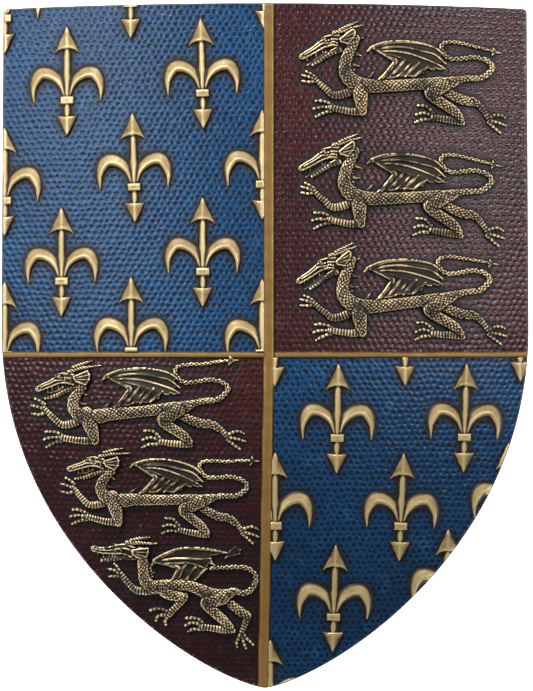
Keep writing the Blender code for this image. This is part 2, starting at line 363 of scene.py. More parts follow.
@dataclass(frozen=True)
class ReliefPaint:
    """Dark paint on a figure, with metal colour brushed over what stands up."""

    name: str
    deep: Colour
    middle: Colour
    bright: Colour
    start: float = 0.25
    end: float = 0.9
    metallic: float = 0.55
    roughness: float = 0.38

    def material(self) -> bpy.types.Material:
        """Builds the finish.

        Returns:
            The material.
        """
        paint = Nodes(self.name)
        patch = paint.noise(70.0, 4.0, 0.6)
        grain = paint.noise(600.0, 3.0, 0.6)
        raised = paint.attribute("raised") + (patch - 0.5) * 0.55 + (grain - 0.5) * 0.35
        body = paint.mix(raised.ramp(self.start - 0.22, self.start + 0.2), self.deep, self.middle)
        gilt = raised.ramp(self.start + 0.1, self.end)
        colour = paint.mix(gilt, body, self.bright)
        rough = self.roughness + (1.0 - gilt) * 0.14 + (grain - 0.5) * 0.2
        normal = paint.bump(grain, 0.0001, 0.6)
        return paint.finish(
            Base_Color=colour, Roughness=rough, Metallic=gilt * self.metallic, Normal=normal,
            Specular_IOR_Level=0.25,
        )


@dataclass(frozen=True)
class EdgePaint:
    """The dark painted edge and back, rubbed along the corners."""

    name: str = "edge_and_back"
    dark: Colour = (0.018, 0.019, 0.024)
    worn: Colour = (0.10, 0.085, 0.06)

    def material(self) -> bpy.types.Material:
        """Builds the finish.

        Returns:
            The material.
        """
        paint = Nodes(self.name)
        cloud = paint.noise(30.0, 5.0, 0.6)
        grain = paint.noise(350.0, 3.0)
        rub = paint.attribute("rub") * cloud.ramp(0.35, 0.65)
        colour = paint.mix((rub + cloud.ramp(0.5, 0.9) * 0.2).clamped(), self.dark, self.worn)
        normal = paint.bump(cloud * 0.6 + grain * 0.4, 0.0004, 0.5)
        return paint.finish(Base_Color=colour, Roughness=0.5 + (grain - 0.5) * 0.2, Normal=normal)


class Finish(Enum):
    """The paints on the shield."""

    BLUE = FieldPaint("blue_paint", (0.003, 0.048, 0.135), (0.003, 0.021, 0.056), (0.015, 0.10, 0.21), gloss=0.1)
    RED = FieldPaint("red_paint", (0.048, 0.007, 0.006), (0.012, 0.004, 0.004), (0.08, 0.022, 0.02))
    FLEUR = ReliefPaint("antique_gold", (0.02, 0.014, 0.006), (0.25, 0.172, 0.068), (0.57, 0.44, 0.22), 0.4, 1.05)
    DRAGON = ReliefPaint(
        "bronze_and_gold", (0.004, 0.0032, 0.0026), (0.036, 0.023, 0.011), (0.80, 0.60, 0.32), 0.54, 0.97
    )
    BAND = ReliefPaint("band_gold", (0.03, 0.017, 0.006), (0.15, 0.08, 0.018), (0.31, 0.18, 0.052), 0.25, 0.95)
    EDGE = EdgePaint()


# Meshes


def plain_object(name: str, points: np.ndarray, faces: np.ndarray) -> bpy.types.Object:
    """A mesh object from arrays.

    Args:
        name: the object's name.
        points: one row for each point.
        faces: one row of corners for each face.

    Returns:
        The object, in the scene.
    """
    mesh = bpy.data.meshes.new(name)
    mesh.from_pydata(points.tolist(), [], faces.tolist())
    mesh.update()
    obj = bpy.data.objects.new(name, mesh)
    bpy.context.scene.collection.objects.link(obj)
    return obj


def store(obj: bpy.types.Object, name: str, values: np.ndarray) -> None:
    """Keeps a number for each point of a mesh."""
    attribute = obj.data.attributes.new(name, "FLOAT", "POINT")
    attribute.data.foreach_set("value", np.asarray(values, np.float32))


def planar_map(obj: bpy.types.Object) -> None:
    """Gives a piece that is seen from above one map over its whole width and length."""
    mesh = obj.data
    points = np.empty(len(mesh.vertices) * 3, np.float32)
    mesh.vertices.foreach_get("co", points)
    flat = points.reshape(-1, 3)[:, :2]
    corners = np.empty(len(mesh.loops), np.int32)
    mesh.loops.foreach_get("vertex_index", corners)
    low = flat.min(axis=0)
    share = (flat - low) / (flat.max(axis=0) - low)
    layer = mesh.uv_layers.new(name="OFBake")
    layer.data.foreach_set("uv", (0.005 + 0.99 * share[corners]).ravel())


def dress(obj: bpy.types.Object, finish: Finish, smooth: bool = True) -> None:
    """Paints a piece and fixes it to the shield.

    Args:
        obj: the piece.
        finish: its paint.
        smooth: whether its faces are shaded as one surface.
    """
    if not obj.data.materials:
        obj.data.materials.append(material_of(finish))
    obj.data.polygons.foreach_set("use_smooth", [smooth] * len(obj.data.polygons))
    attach(obj, "root")
    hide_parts(NODE)
    LOG.info("%s: %d faces", obj.name, len(obj.data.polygons))


MADE: dict[Finish, bpy.types.Material] = {}


def material_of(finish: Finish) -> bpy.types.Material:
    """The finish's material, made once."""
    if finish not in MADE:
        MADE[finish] = finish.value.material()
    return MADE[finish]


# Relief as heights over a fine grid


class Skin(Enum):
    """What is carved on a limb."""

    SMOOTH = "smooth"
    SCALES = "scales"
    RINGS = "rings"
    TWIST = "twist"
    RIDGE = "ridge"


@dataclass
class Grid:
    """A fine grid over one figure, with the height of its relief in metres."""

    low: Point
    high: Point
    step: float
    x: np.ndarray = field(init=False)
    y: np.ndarray = field(init=False)
    height: np.ndarray = field(init=False)

    def __post_init__(self) -> None:
        """Lays the grid out, everywhere well below the face."""
        columns = np.arange(self.low[0], self.high[0] + self.step, self.step)
        rows = np.arange(self.low[1], self.high[1] + self.step, self.step)
        self.x, self.y = np.meshgrid(columns, rows)
        self.height = np.full(self.x.shape, -5 * MM)

    def window(self, low: np.ndarray, high: np.ndarray) -> tuple[slice, slice]:
        """The part of the grid between two corners."""
        first = np.floor((low - self.low) / self.step).astype(int).clip(0)
        last = np.ceil((high - self.low) / self.step).astype(int).clip(0) + 1
        return slice(first[1], last[1]), slice(first[0], last[0])

    def raise_to(self, area: tuple[slice, slice], height: np.ndarray) -> None:
        """Lifts part of the grid to a height where that is higher."""
        self.height[area] = np.maximum(self.height[area], height)

    def raise_by(self, area: tuple[slice, slice], height: np.ndarray) -> None:
        """Adds a height to part of the grid."""
        self.height[area] += height


def smooth_line(points: np.ndarray, steps: int = 8) -> np.ndarray:
    """A smooth curve through points.

    Args:
        points: one row for each point.
        steps: how many pieces each stretch is cut into.

    Returns:
        The curve's points.
    """
    if len(points) < 3:
        return np.linspace(points[0], points[-1], steps + 1)
    padded = np.concatenate([[2 * points[0] - points[1]], points, [2 * points[-1] - points[-2]]])
    t = np.linspace(0, 1, steps, endpoint=False)[:, None]
    rows = []
    for a, b, c, d in zip(padded, padded[1:], padded[2:], padded[3:]):
        rows.append(0.5 * (2 * b + (c - a) * t + (2 * a - 5 * b + 4 * c - d) * t**2 + (3 * b - a - 3 * c + d) * t**3))
    return np.concatenate(rows + [points[-1:]])


def skin_height(
    skin: Skin, run: np.ndarray, across: np.ndarray, radius: np.ndarray, pitch: float, crest: float
) -> np.ndarray:
    """The carving on a limb.

    Args:
        skin: the kind of carving.
        run: the distance along the limb.
        across: the distance from its middle line, with a sign.
        radius: the limb's half width there.
        pitch: the size of one scale or ring.
        crest: where a ridge runs, as a share of the half width.

    Returns:
        A height from 0 to 1.
    """
    round_about = np.arcsin(np.clip(across / radius, -1, 1)) * radius
    if skin is Skin.SCALES:
        best = np.zeros_like(run)
        waver = 0.16 * np.sin(2.3 * run / pitch + 1.9 * np.sin(2.7 * round_about / pitch))
        sway = 0.12 * np.sin(3.1 * round_about / pitch + 2.2 * np.sin(1.3 * run / pitch))
        for offset in (0.0, 0.5):
            down = run / pitch + offset + waver
            beside = round_about / (pitch * 0.92) + offset + sway
            down, beside = down - np.round(down), beside - np.round(beside)
            lozenge = 1 - (down / 0.5) ** 2 - (beside / 0.46) ** 2
            best = np.maximum(best, np.clip(lozenge, 0, 1) ** 0.6 * (0.8 + 0.7 * down))
        return best
    if skin is Skin.RINGS:
        return np.abs(np.sin(math.pi * (run / pitch + 0.12 * (across / radius) ** 2))) ** 0.7
    if skin is Skin.TWIST:
        return 0.5 + 0.5 * np.sin(2 * math.pi * (run / pitch + 0.6 * across / radius))
    if skin is Skin.RIDGE:
        share = across / radius
        return np.clip(np.where(share > crest, (1 - share) / (1 - crest), (1 + share) / (1 + crest)), 0, 1)
    return np.zeros_like(run)


@dataclass(frozen=True)
class Stroke:
    """A limb of a figure: points with widths, in the figure's own units."""

    stops: tuple[Stop, ...]
    skin: Skin = Skin.SMOOTH
    pitch: float = 3.4
    carve: float = 0.45  # depth of the carving, in millimetres
    lift: float = 0.0  # how far it stands over what it crosses, in millimetres
    fullness: float = 0.85  # its height beside half its width
    crest: float = 0.0  # where its ridge runs, as a share of half its width
    onto: bool = False  # whether its height is added to what is there

    def carve_on(self, grid: Grid, place: "Place") -> None:
        """Lays the limb on a figure's grid.

        Args:
            grid: the grid.
            place: where the figure lies.
        """
        line = smooth_line(np.array(self.stops, float))
        spots = place.spots(line[:, :2])
        radii = np.maximum(line[:, 2] / 2 * place.scale, 0.25 * MM)
        run = np.concatenate([[0], np.cumsum(np.linalg.norm(np.diff(spots, axis=0), axis=1))])
        reach = radii.max() + 2 * MM
        area = grid.window(spots.min(axis=0) - reach, spots.max(axis=0) + reach)
        x, y = grid.x[area], grid.y[area]
        if not x.size:
            return
        closest = np.full(x.shape, 1e9)
        share, along, side, half = (np.zeros(x.shape) for _ in range(4))
        for i in range(len(spots) - 1):
            leg = spots[i + 1] - spots[i]
            length = max(np.hypot(*leg), 1e-9)
            off_x, off_y = x - spots[i][0], y - spots[i][1]
            free = (off_x * leg[0] + off_y * leg[1]) / length**2
            t = np.clip(free, 0, 1)
            beyond = np.clip(free, -9 if i == 0 else 0, 9 if i == len(spots) - 2 else 1)
            away = np.hypot(off_x - t * leg[0], off_y - t * leg[1])
            beside = np.hypot(off_x - beyond * leg[0], off_y - beyond * leg[1])
            radius = radii[i] + (radii[i + 1] - radii[i]) * t
            better = away - radius < closest
            closest = np.where(better, away - radius, closest)
            share = np.where(better, away / radius, share)
            along = np.where(better, run[i] + beyond * length, along)
            side = np.where(better, np.sign(leg[0] * off_y - leg[1] * off_x) * beside, side)
            half = np.where(better, radius, half)
        inner = np.clip(1 - share**2, 0, 1)
        rise = self.fullness * half * inner**0.55 + self.lift * MM * np.clip(inner * 3, 0, 1)
        half = np.maximum(half, 1e-6)
        pattern = skin_height(self.skin, along, side, half, self.pitch * place.scale, self.crest)
        rise += self.carve * MM * pattern * np.clip(inner * 2.5, 0, 1)
        if self.onto:
            grid.raise_by(area, np.where(share < 1, rise, 0))
        else:
            grid.raise_to(area, np.where(share < 1, rise, -closest * 1.4))


@dataclass(frozen=True)
class Panel:
    """A flat part of a figure, such as a wing, with its outline in the figure's units."""

    corners: tuple[Point, ...]
    rise: float = 1.6  # in millimetres
    folds: float = 0.0  # depth of the folds that fan out from its first corner
    fold_count: int = 6
    soft: float = 1.2  # width of its rounded border, in millimetres
    roof: float = 0.0  # how much higher its ridge is, in millimetres
    roof_width: float = 1.0  # from the ridge to where the roof ends, in the figure's units

    def carve_on(self, grid: Grid, place: "Place") -> None:
        """Lays the panel on a figure's grid.

        Args:
            grid: the grid.
            place: where the figure lies.
        """
        spots = place.spots(np.array(self.corners, float))
        reach = 2 * MM
        area = grid.window(spots.min(axis=0) - reach, spots.max(axis=0) + reach)
        x, y = grid.x[area], grid.y[area]
        if not x.size:
            return
        inside = np.zeros(x.shape, bool)
        away = np.full(x.shape, 1e9)
        for a, b in zip(spots, np.roll(spots, -1, axis=0)):
            leg = b - a
            t = np.clip(((x - a[0]) * leg[0] + (y - a[1]) * leg[1]) / max(leg @ leg, 1e-12), 0, 1)
            away = np.minimum(away, np.hypot(x - a[0] - t * leg[0], y - a[1] - t * leg[1]))
            crosses = (a[1] > y) != (b[1] > y)
            level = a[0] + (y - a[1]) / (b[1] - a[1] if b[1] != a[1] else 1e-9) * leg[0]
            inside ^= crosses & (x < level)
        edge = np.clip(away / (self.soft * MM), 0, 1)
        rise = self.rise * MM * (edge * (2 - edge)) ** 0.5
        if self.folds:
            root = spots[0]
            angle = np.arctan2(y - root[1], x - root[0])
            reach_out = np.clip(np.hypot(x - root[0], y - root[1]) / (6 * MM), 0, 1)
            rise += self.folds * MM * np.cos(angle * self.fold_count * 2) * reach_out * edge
        if self.roof:
            slope = np.clip(1 - np.abs(place.beside(x, y)) / self.roof_width, 0, 1)
            rise += self.roof * MM * slope * np.clip(edge * 3, 0, 1)
        grid.raise_to(area, np.where(inside, rise, -away * 1.4))


@dataclass(frozen=True)
class Place:
    """Where a figure lies: shares of the half width and the height, a lean and a scale."""

    across: float
    down: float
    lean: float
    scale: float

    def spots(self, points: np.ndarray) -> np.ndarray:
        """Places on the board of points in the figure's own units.

        Args:
            points: one row for each point.

        Returns:
            Their places, in metres.
        """
        turn = math.radians(self.lean)
        matrix = np.array([[math.cos(turn), -math.sin(turn)], [math.sin(turn), math.cos(turn)]])
        middle = np.array([self.across * BOARD.half, BOARD.top - self.down * BOARD.height])
        return points @ matrix.T * self.scale + middle

    def beside(self, x: np.ndarray, y: np.ndarray) -> np.ndarray:
        """How far places lie beside the figure's upright axis, in its units."""
        turn = math.radians(self.lean)
        off_x = x - self.across * BOARD.half
        off_y = y - (BOARD.top - self.down * BOARD.height)
        return (off_x * math.cos(turn) + off_y * math.sin(turn)) / self.scale


def softened(values: np.ndarray, radius: int) -> np.ndarray:
    """Values averaged with their neighbours, three times over.

    Args:
        values: a grid of numbers.
        radius: how many cells each way.

    Returns:
        The softened grid.
    """
    for _ in range(3):
        for axis in (0, 1):
            padded = np.pad(values, [(radius + 1, radius) if i == axis else (0, 0) for i in (0, 1)], "edge")
            sums = np.cumsum(padded, axis=axis)
            span = 2 * radius + 1
            ahead = np.take(sums, range(span, sums.shape[axis]), axis=axis)
            behind = np.take(sums, range(0, sums.shape[axis] - span), axis=axis)
            values = (ahead - behind) / span
    return values


SUNK = -0.5 * MM


def relief_object(name: str, grids: list[Grid], detail: float = 0.0009) -> bpy.types.Object:
    """One piece of all the figures on some grids, draped on the face.

    Args:
        name: the piece's name.
        grids: the figures' grids.
        detail: how far round a point the height is compared with.

    Returns:
        The piece, with how far each point is raised above those round it.
    """
    all_points, all_faces, all_raised, count = [], [], [], 0
    for grid in grids:
        near = max(1, int(round(detail / grid.step)))
        covered = (grid.height > 0).astype(float)
        ground = softened(np.maximum(grid.height, 0), near) / np.maximum(softened(covered, near), 0.01)
        raised = np.clip(0.5 + (grid.height - ground) / (0.5 * MM), 0, 1)
        raised *= np.clip(grid.height / (0.5 * MM), 0, 1)
        within = edge_distance(grid.x, grid.y) > 0.2 * MM
        used = grid.height > SUNK
        cell = used[:-1, :-1] | used[1:, :-1] | used[:-1, 1:] | used[1:, 1:]
        cell &= np.minimum.reduce([grid.height[:-1, :-1], grid.height[1:, :-1], grid.height[:-1, 1:],
                                   grid.height[1:, 1:]]) > 4 * SUNK
        cell &= within[:-1, :-1] & within[1:, :-1] & within[:-1, 1:] & within[1:, 1:]
        rows, columns = np.nonzero(cell)
        width = grid.x.shape[1]
        first = rows * width + columns
        faces = np.stack([first, first + 1, first + width + 1, first + width], axis=1)
        kept, faces = np.unique(faces, return_inverse=True)
        faces = faces.reshape(-1, 4)
        x, y = grid.x.ravel()[kept], grid.y.ravel()[kept]
        z = np.minimum(BOARD.face(x, y) + np.maximum(grid.height.ravel()[kept], 1.6 * SUNK), BOARD.tallest)
        all_points.append(np.stack([x, y, z], axis=1))
        all_faces.append(faces + count)
        all_raised.append(raised.ravel()[kept])
        count += len(kept)
    obj = plain_object(name, np.concatenate(all_points), np.concatenate(all_faces))
    store(obj, "raised", np.concatenate(all_raised))
    planar_map(obj)
    return obj


# The cross band


@dataclass
class CrossBand:
    """The raised gold cross that parts the fields."""

    width: float = 0.0075
    crossbar_width: float = 0.0042
    rise: float = 0.0019
    offset: float = 0.0026
    tip_offset: float = -0.0012
    crossbar_drop: float = 0.2327
    step: float = 0.0008
    margin: float = 0.0012

    def middle(self, y: np.ndarray) -> np.ndarray:
        """Where the upright's middle line lies at each level."""
        drop = BOARD.top - np.asarray(y)
        share = np.clip((drop - self.crossbar_drop) / (BOARD.height - self.crossbar_drop), 0, 1)
        return self.offset + (self.tip_offset - self.offset) * share

    @property
    def level(self) -> float:
        """Where the crossbar lies along Y."""
        return BOARD.top - self.crossbar_drop

    def build(self) -> None:
        """Makes the band as one relief piece."""
        parts = []
        half = self.width / 2
        upright = Grid((-0.006, -BOARD.top), (0.0076, BOARD.top), self.step)
        away = half - np.abs(upright.x - self.middle(upright.y))
        parts.append((upright, away, self.rise))
        bar = Grid((-BOARD.half, self.level - 0.0042), (BOARD.half, self.level + 0.0042), self.step)
        away = self.crossbar_width / 2 - np.abs(bar.y - self.level)
        away = np.where(np.abs(bar.x - self.middle(bar.y)) < half - 0.0006, -0.002, away)
        parts.append((bar, away, self.rise * 0.85))
        for grid, away, rise in parts:
            away = np.minimum(away, edge_distance(grid.x, grid.y) - self.margin * 0.3)
            round_off = np.clip(away / self.margin, 0, 1)
            wavy = 0.12 * MM * np.sin(grid.y * 410 + grid.x * 230) * np.sin(grid.y * 173 - grid.x * 97)
            grid.height = np.where(away > 0, rise * (round_off * (2 - round_off)) ** 0.5 + wavy, away * 1.4)
        band = relief_object("cross_band", [grid for grid, _, _ in parts])
        dress(band, Finish.BAND)


def edge_distance(x: np.ndarray, y: np.ndarray) -> np.ndarray:
    """About how far points lie inside the board's outline.

    Args:
        x: places across the board.
        y: places along it.

    Returns:
        Distances in metres, below 0 outside.
    """
    drop = BOARD.top - y
    step = 0.5 * MM
    here = BOARD.half_width(drop)
    slope = (BOARD.half_width(drop + step) - BOARD.half_width(drop - step)) / (2 * step)
    side = (here - np.abs(x)) / np.sqrt(1 + np.clip(slope, -12, 12) ** 2)
    side = np.where(drop > BOARD.height, BOARD.height - drop, side)
    return np.minimum(side, drop)


# Fleurs-de-lis


@dataclass
class Fleurs:
    """The fleurs-de-lis of one field, cut off at its edges."""

    name: str
    places: tuple[Stop, ...]
    side: int  # 1 for the right of the upright, -1 for the left
    upper: bool
    band: CrossBand
    tall: float = 0.0735
    units: float = 110.0
    step: float = 0.00050
    grids: list[Grid] = field(default_factory=list)

    STEM = Stroke(((0, -16, 6), (0, -30, 8.8), (0, -60, 8.6), (0, -92, 8), (0, -98, 6)), Skin.RIDGE, 3, 1.1, 0.2, 0.3)
    TIP = Panel(((0, 0), (5.6, -12), (13.8, -29), (9, -25), (4, -23), (-4, -23), (-9, -25), (-13.8, -29), (-5.6, -12)),
                1.0, soft=0.5, roof=1.9, roof_width=14)
    FOOT = Panel(((0, -110.5), (5.6, -100.5), (11, -89.6), (4, -90.4), (-4, -90.4), (-11, -89.6), (-5.6, -100.5)),
                 0.9, soft=0.5, roof=1.7, roof_width=11)
    COLLAR = Panel(((-7, -70.4), (7, -70.4), (7, -78.6), (-7, -78.6)), 2.7, soft=0.9)
    LEAF = ((2.5, -69, 4), (5.5, -59, 8.5), (11.5, -51.5, 12.5), (19.5, -47.5, 14.5), (27, -48, 15), (32, -54, 12.5),
            (34.6, -62, 8.5), (34.6, -69, 5), (34, -75.5, 1.8))

    def figure(self) -> list:
        """The strokes and panels of one fleur-de-lis.

        Returns:
            Its parts, from the lowest to the highest.
        """
        parts: list = [self.TIP, self.FOOT, self.STEM]
        for turn in (1, -1):
            stops = tuple((turn * x, y, width) for x, y, width in self.LEAF)
            parts.append(Stroke(stops, Skin.RIDGE, 3, 1.7, 0.0, 0.2, -0.35 * turn))
        return parts + [self.COLLAR]

    def build(self) -> None:
        """Makes the field's fleurs-de-lis as one piece."""
        scale = self.tall / self.units
        for across, down, lean in self.places:
            place = Place(across, down, lean, scale)
            reach = place.spots(np.array([(-41.0, 3.0), (41.0, 3.0), (-41.0, -113.0), (41.0, -113.0)]))
            grid = Grid(tuple(reach.min(axis=0)), tuple(reach.max(axis=0)), self.step)
            for part in self.figure():
                part.carve_on(grid, place)
            upright = (grid.x - self.band.middle(grid.y)) * self.side - self.band.width * 0.3
            level = (grid.y - self.band.level) * (1 if self.upper else -1) - self.band.crossbar_width * 0.3
            inside = np.minimum(np.minimum(upright, level), edge_distance(grid.x, grid.y) - 0.4 * MM)
            grid.height = np.minimum(grid.height, inside * 2.5)
            if (grid.height > 0).any():
                self.grids.append(grid)
        dress(relief_object(self.name, self.grids), Finish.FLEUR)


# Dragons


@dataclass(frozen=True)
class Pose:
    """One way a dragon is drawn, 200 units long."""

    spine: tuple[Stop, ...]
    belly: tuple[Stop, ...]
    tail: tuple[Stop, ...]
    near_fore: tuple[Stop, ...]
    near_fore_arm: tuple[Stop, ...]
    far_fore: tuple[Stop, ...]
    near_hind: tuple[Stop, ...]
    near_foot: tuple[Stop, ...]
    far_hind: tuple[Stop, ...]
    far_foot: tuple[Stop, ...]
    skull: tuple[Stop, ...]
    jaw: tuple[Stop, ...]
    tongue: tuple[Stop, ...]
    eye: Point
    ear: tuple[Point, ...]
    ear_ribs: tuple[tuple[Stop, ...], ...]
    horns: tuple[tuple[Stop, ...], ...]
    toes: tuple[tuple[Stop, ...], ...]
    wing: tuple[Point, ...]
    fingers: tuple[tuple[Stop, ...], ...]
    arm: tuple[Stop, ...]
    folds: tuple[tuple[Stop, ...], ...]
    tail_tip: tuple[Point, ...]
    spikes: tuple[tuple[Stop, ...], ...]

    def head_line(self, side: float) -> tuple[Stop, ...]:
        """A thin ridge along the head.

        Args:
            side: where it runs, from -1 at the lip to 1 at the crown.

        Returns:
            Its points with widths.
        """
        line = np.array(self.skull, float)
        along = np.gradient(line[:, :2], axis=0)
        along /= np.linalg.norm(along, axis=1)[:, None]
        beside = np.stack([along[:, 1], -along[:, 0]], axis=1)
        spots = line[:, :2] + beside * line[:, 2:] / 2 * side
        return tuple((float(x), float(y), 2.0) for x, y in spots[1:])

    def teeth(self) -> list[tuple[Stop, ...]]:
        """Small pointed teeth along the upper lip."""
        lip = smooth_line(np.array(self.head_line(-0.95), float), 3)
        return [((x, y, 2.2), (x + 0.4, y - 4.0, 0.9)) for x, y, _ in lip[-9:-1:2]]

    def parts(self) -> list:
        """The figure's strokes and panels, from the lowest to the highest.

        Returns:
            The parts.
        """
        scales = {"skin": Skin.SCALES, "pitch": 4.7, "carve": 1.0}
        rings = {"skin": Skin.RINGS, "pitch": 3.0, "carve": 0.5}
        made: list = [
            Stroke(self.far_fore, **rings, lift=0.1),
            Stroke(self.far_hind, **scales, fullness=0.75),
            Stroke(self.far_foot, **rings),
            Stroke(self.tail, **scales, fullness=0.95),
            Stroke(self.spine, **scales, lift=0.5, fullness=0.78),
            Stroke(self.belly, **rings, lift=0.5, fullness=0.7),
            Panel(self.wing, 2.6, 0.28, 9),
            Panel(self.tail_tip, 1.9),
        ]
        made += [Stroke(spike, lift=0.8) for spike in self.spikes]
        made += [Stroke(fold, lift=2.3, fullness=0.8) for fold in self.folds]
        made += [Stroke(finger, lift=2.4, fullness=0.8) for finger in self.fingers]
        made += [
            Stroke(self.arm, lift=2.4, fullness=0.8),
            Stroke(self.near_hind, **scales, lift=1.0),
            Stroke(self.near_foot, **rings, lift=0.5),
            Stroke(self.near_fore, **scales, lift=1.1),
            Stroke(self.near_fore_arm, **rings, lift=0.6),
        ]
        for toe in self.toes:
            (back_x, back_y, _), (x, y, width) = toe[-2:]
            claw = (x + 0.45 * (x - back_x), y + 0.45 * (y - back_y), 0.9)
            made.append(Stroke(toe, Skin.RINGS, 4.2, 0.4, 0.3, 1.0))
            made.append(Stroke(((x, y, width), claw), fullness=1.1))
        return made + self.head()

    def head(self) -> list:
        """The head's strokes and panels, with the eye, the teeth, the ear and the horns.

        Returns:
            The parts.
        """
        x, y = self.eye
        nostril = self.skull[-1]
        made: list = [
            Stroke(self.tongue, lift=0.3),
            Stroke(self.jaw, Skin.RINGS, 3.2, 0.3, 0.4, 0.9),
            Panel(self.ear, 4.7),
        ]
        made += [Stroke(rib, lift=4.4, fullness=1.0) for rib in self.ear_ribs]
        made += [Stroke(tooth, lift=0.9, fullness=1.2) for tooth in self.teeth()]
        made += [
            Stroke(self.skull, lift=0.5, fullness=0.55),
            Stroke((nostril[:2] + (8.4,), nostril[:2] + (7.6,)), fullness=0.25, onto=True),
        ]
        made += [Stroke(self.head_line(side), fullness=1.0, onto=True) for side in (-0.72, 0.1, 0.66)]
        made += [
            Stroke(((x - 3, y - 1, 5), (x + 3, y, 6)), lift=-1.1, fullness=0, onto=True),
            Stroke(((x, y, 3.6), (x + 0.4, y, 3.6)), fullness=0.9, onto=True),
            Stroke(((x - 5, y + 2.2, 2.2), (x, y + 4, 3), (x + 6, y + 4.4, 2.2)), lift=0.5, onto=True),
            Stroke(((nostril[0] + 1, nostril[1] + 1, 2.6), (nostril[0] + 2, nostril[1] + 1.6, 2)), lift=-0.9,
                   fullness=0, onto=True),
            Stroke(((x + 5, y - 8, 7), (x + 9, y - 5, 9)), Skin.SCALES, 4.0, 0.7, 0.2, 0.2, onto=True),
        ]
        return made + [Stroke(horn, Skin.TWIST, 3.0, 0.4, 1.6, 1.0) for horn in self.horns]


def moved(strokes: tuple[tuple[Stop, ...], ...], x: float, y: float) -> tuple[tuple[Stop, ...], ...]:
    """Limbs moved by so many units."""
    return tuple(tuple((stop[0] + x, stop[1] + y, stop[2]) for stop in stroke) for stroke in strokes)


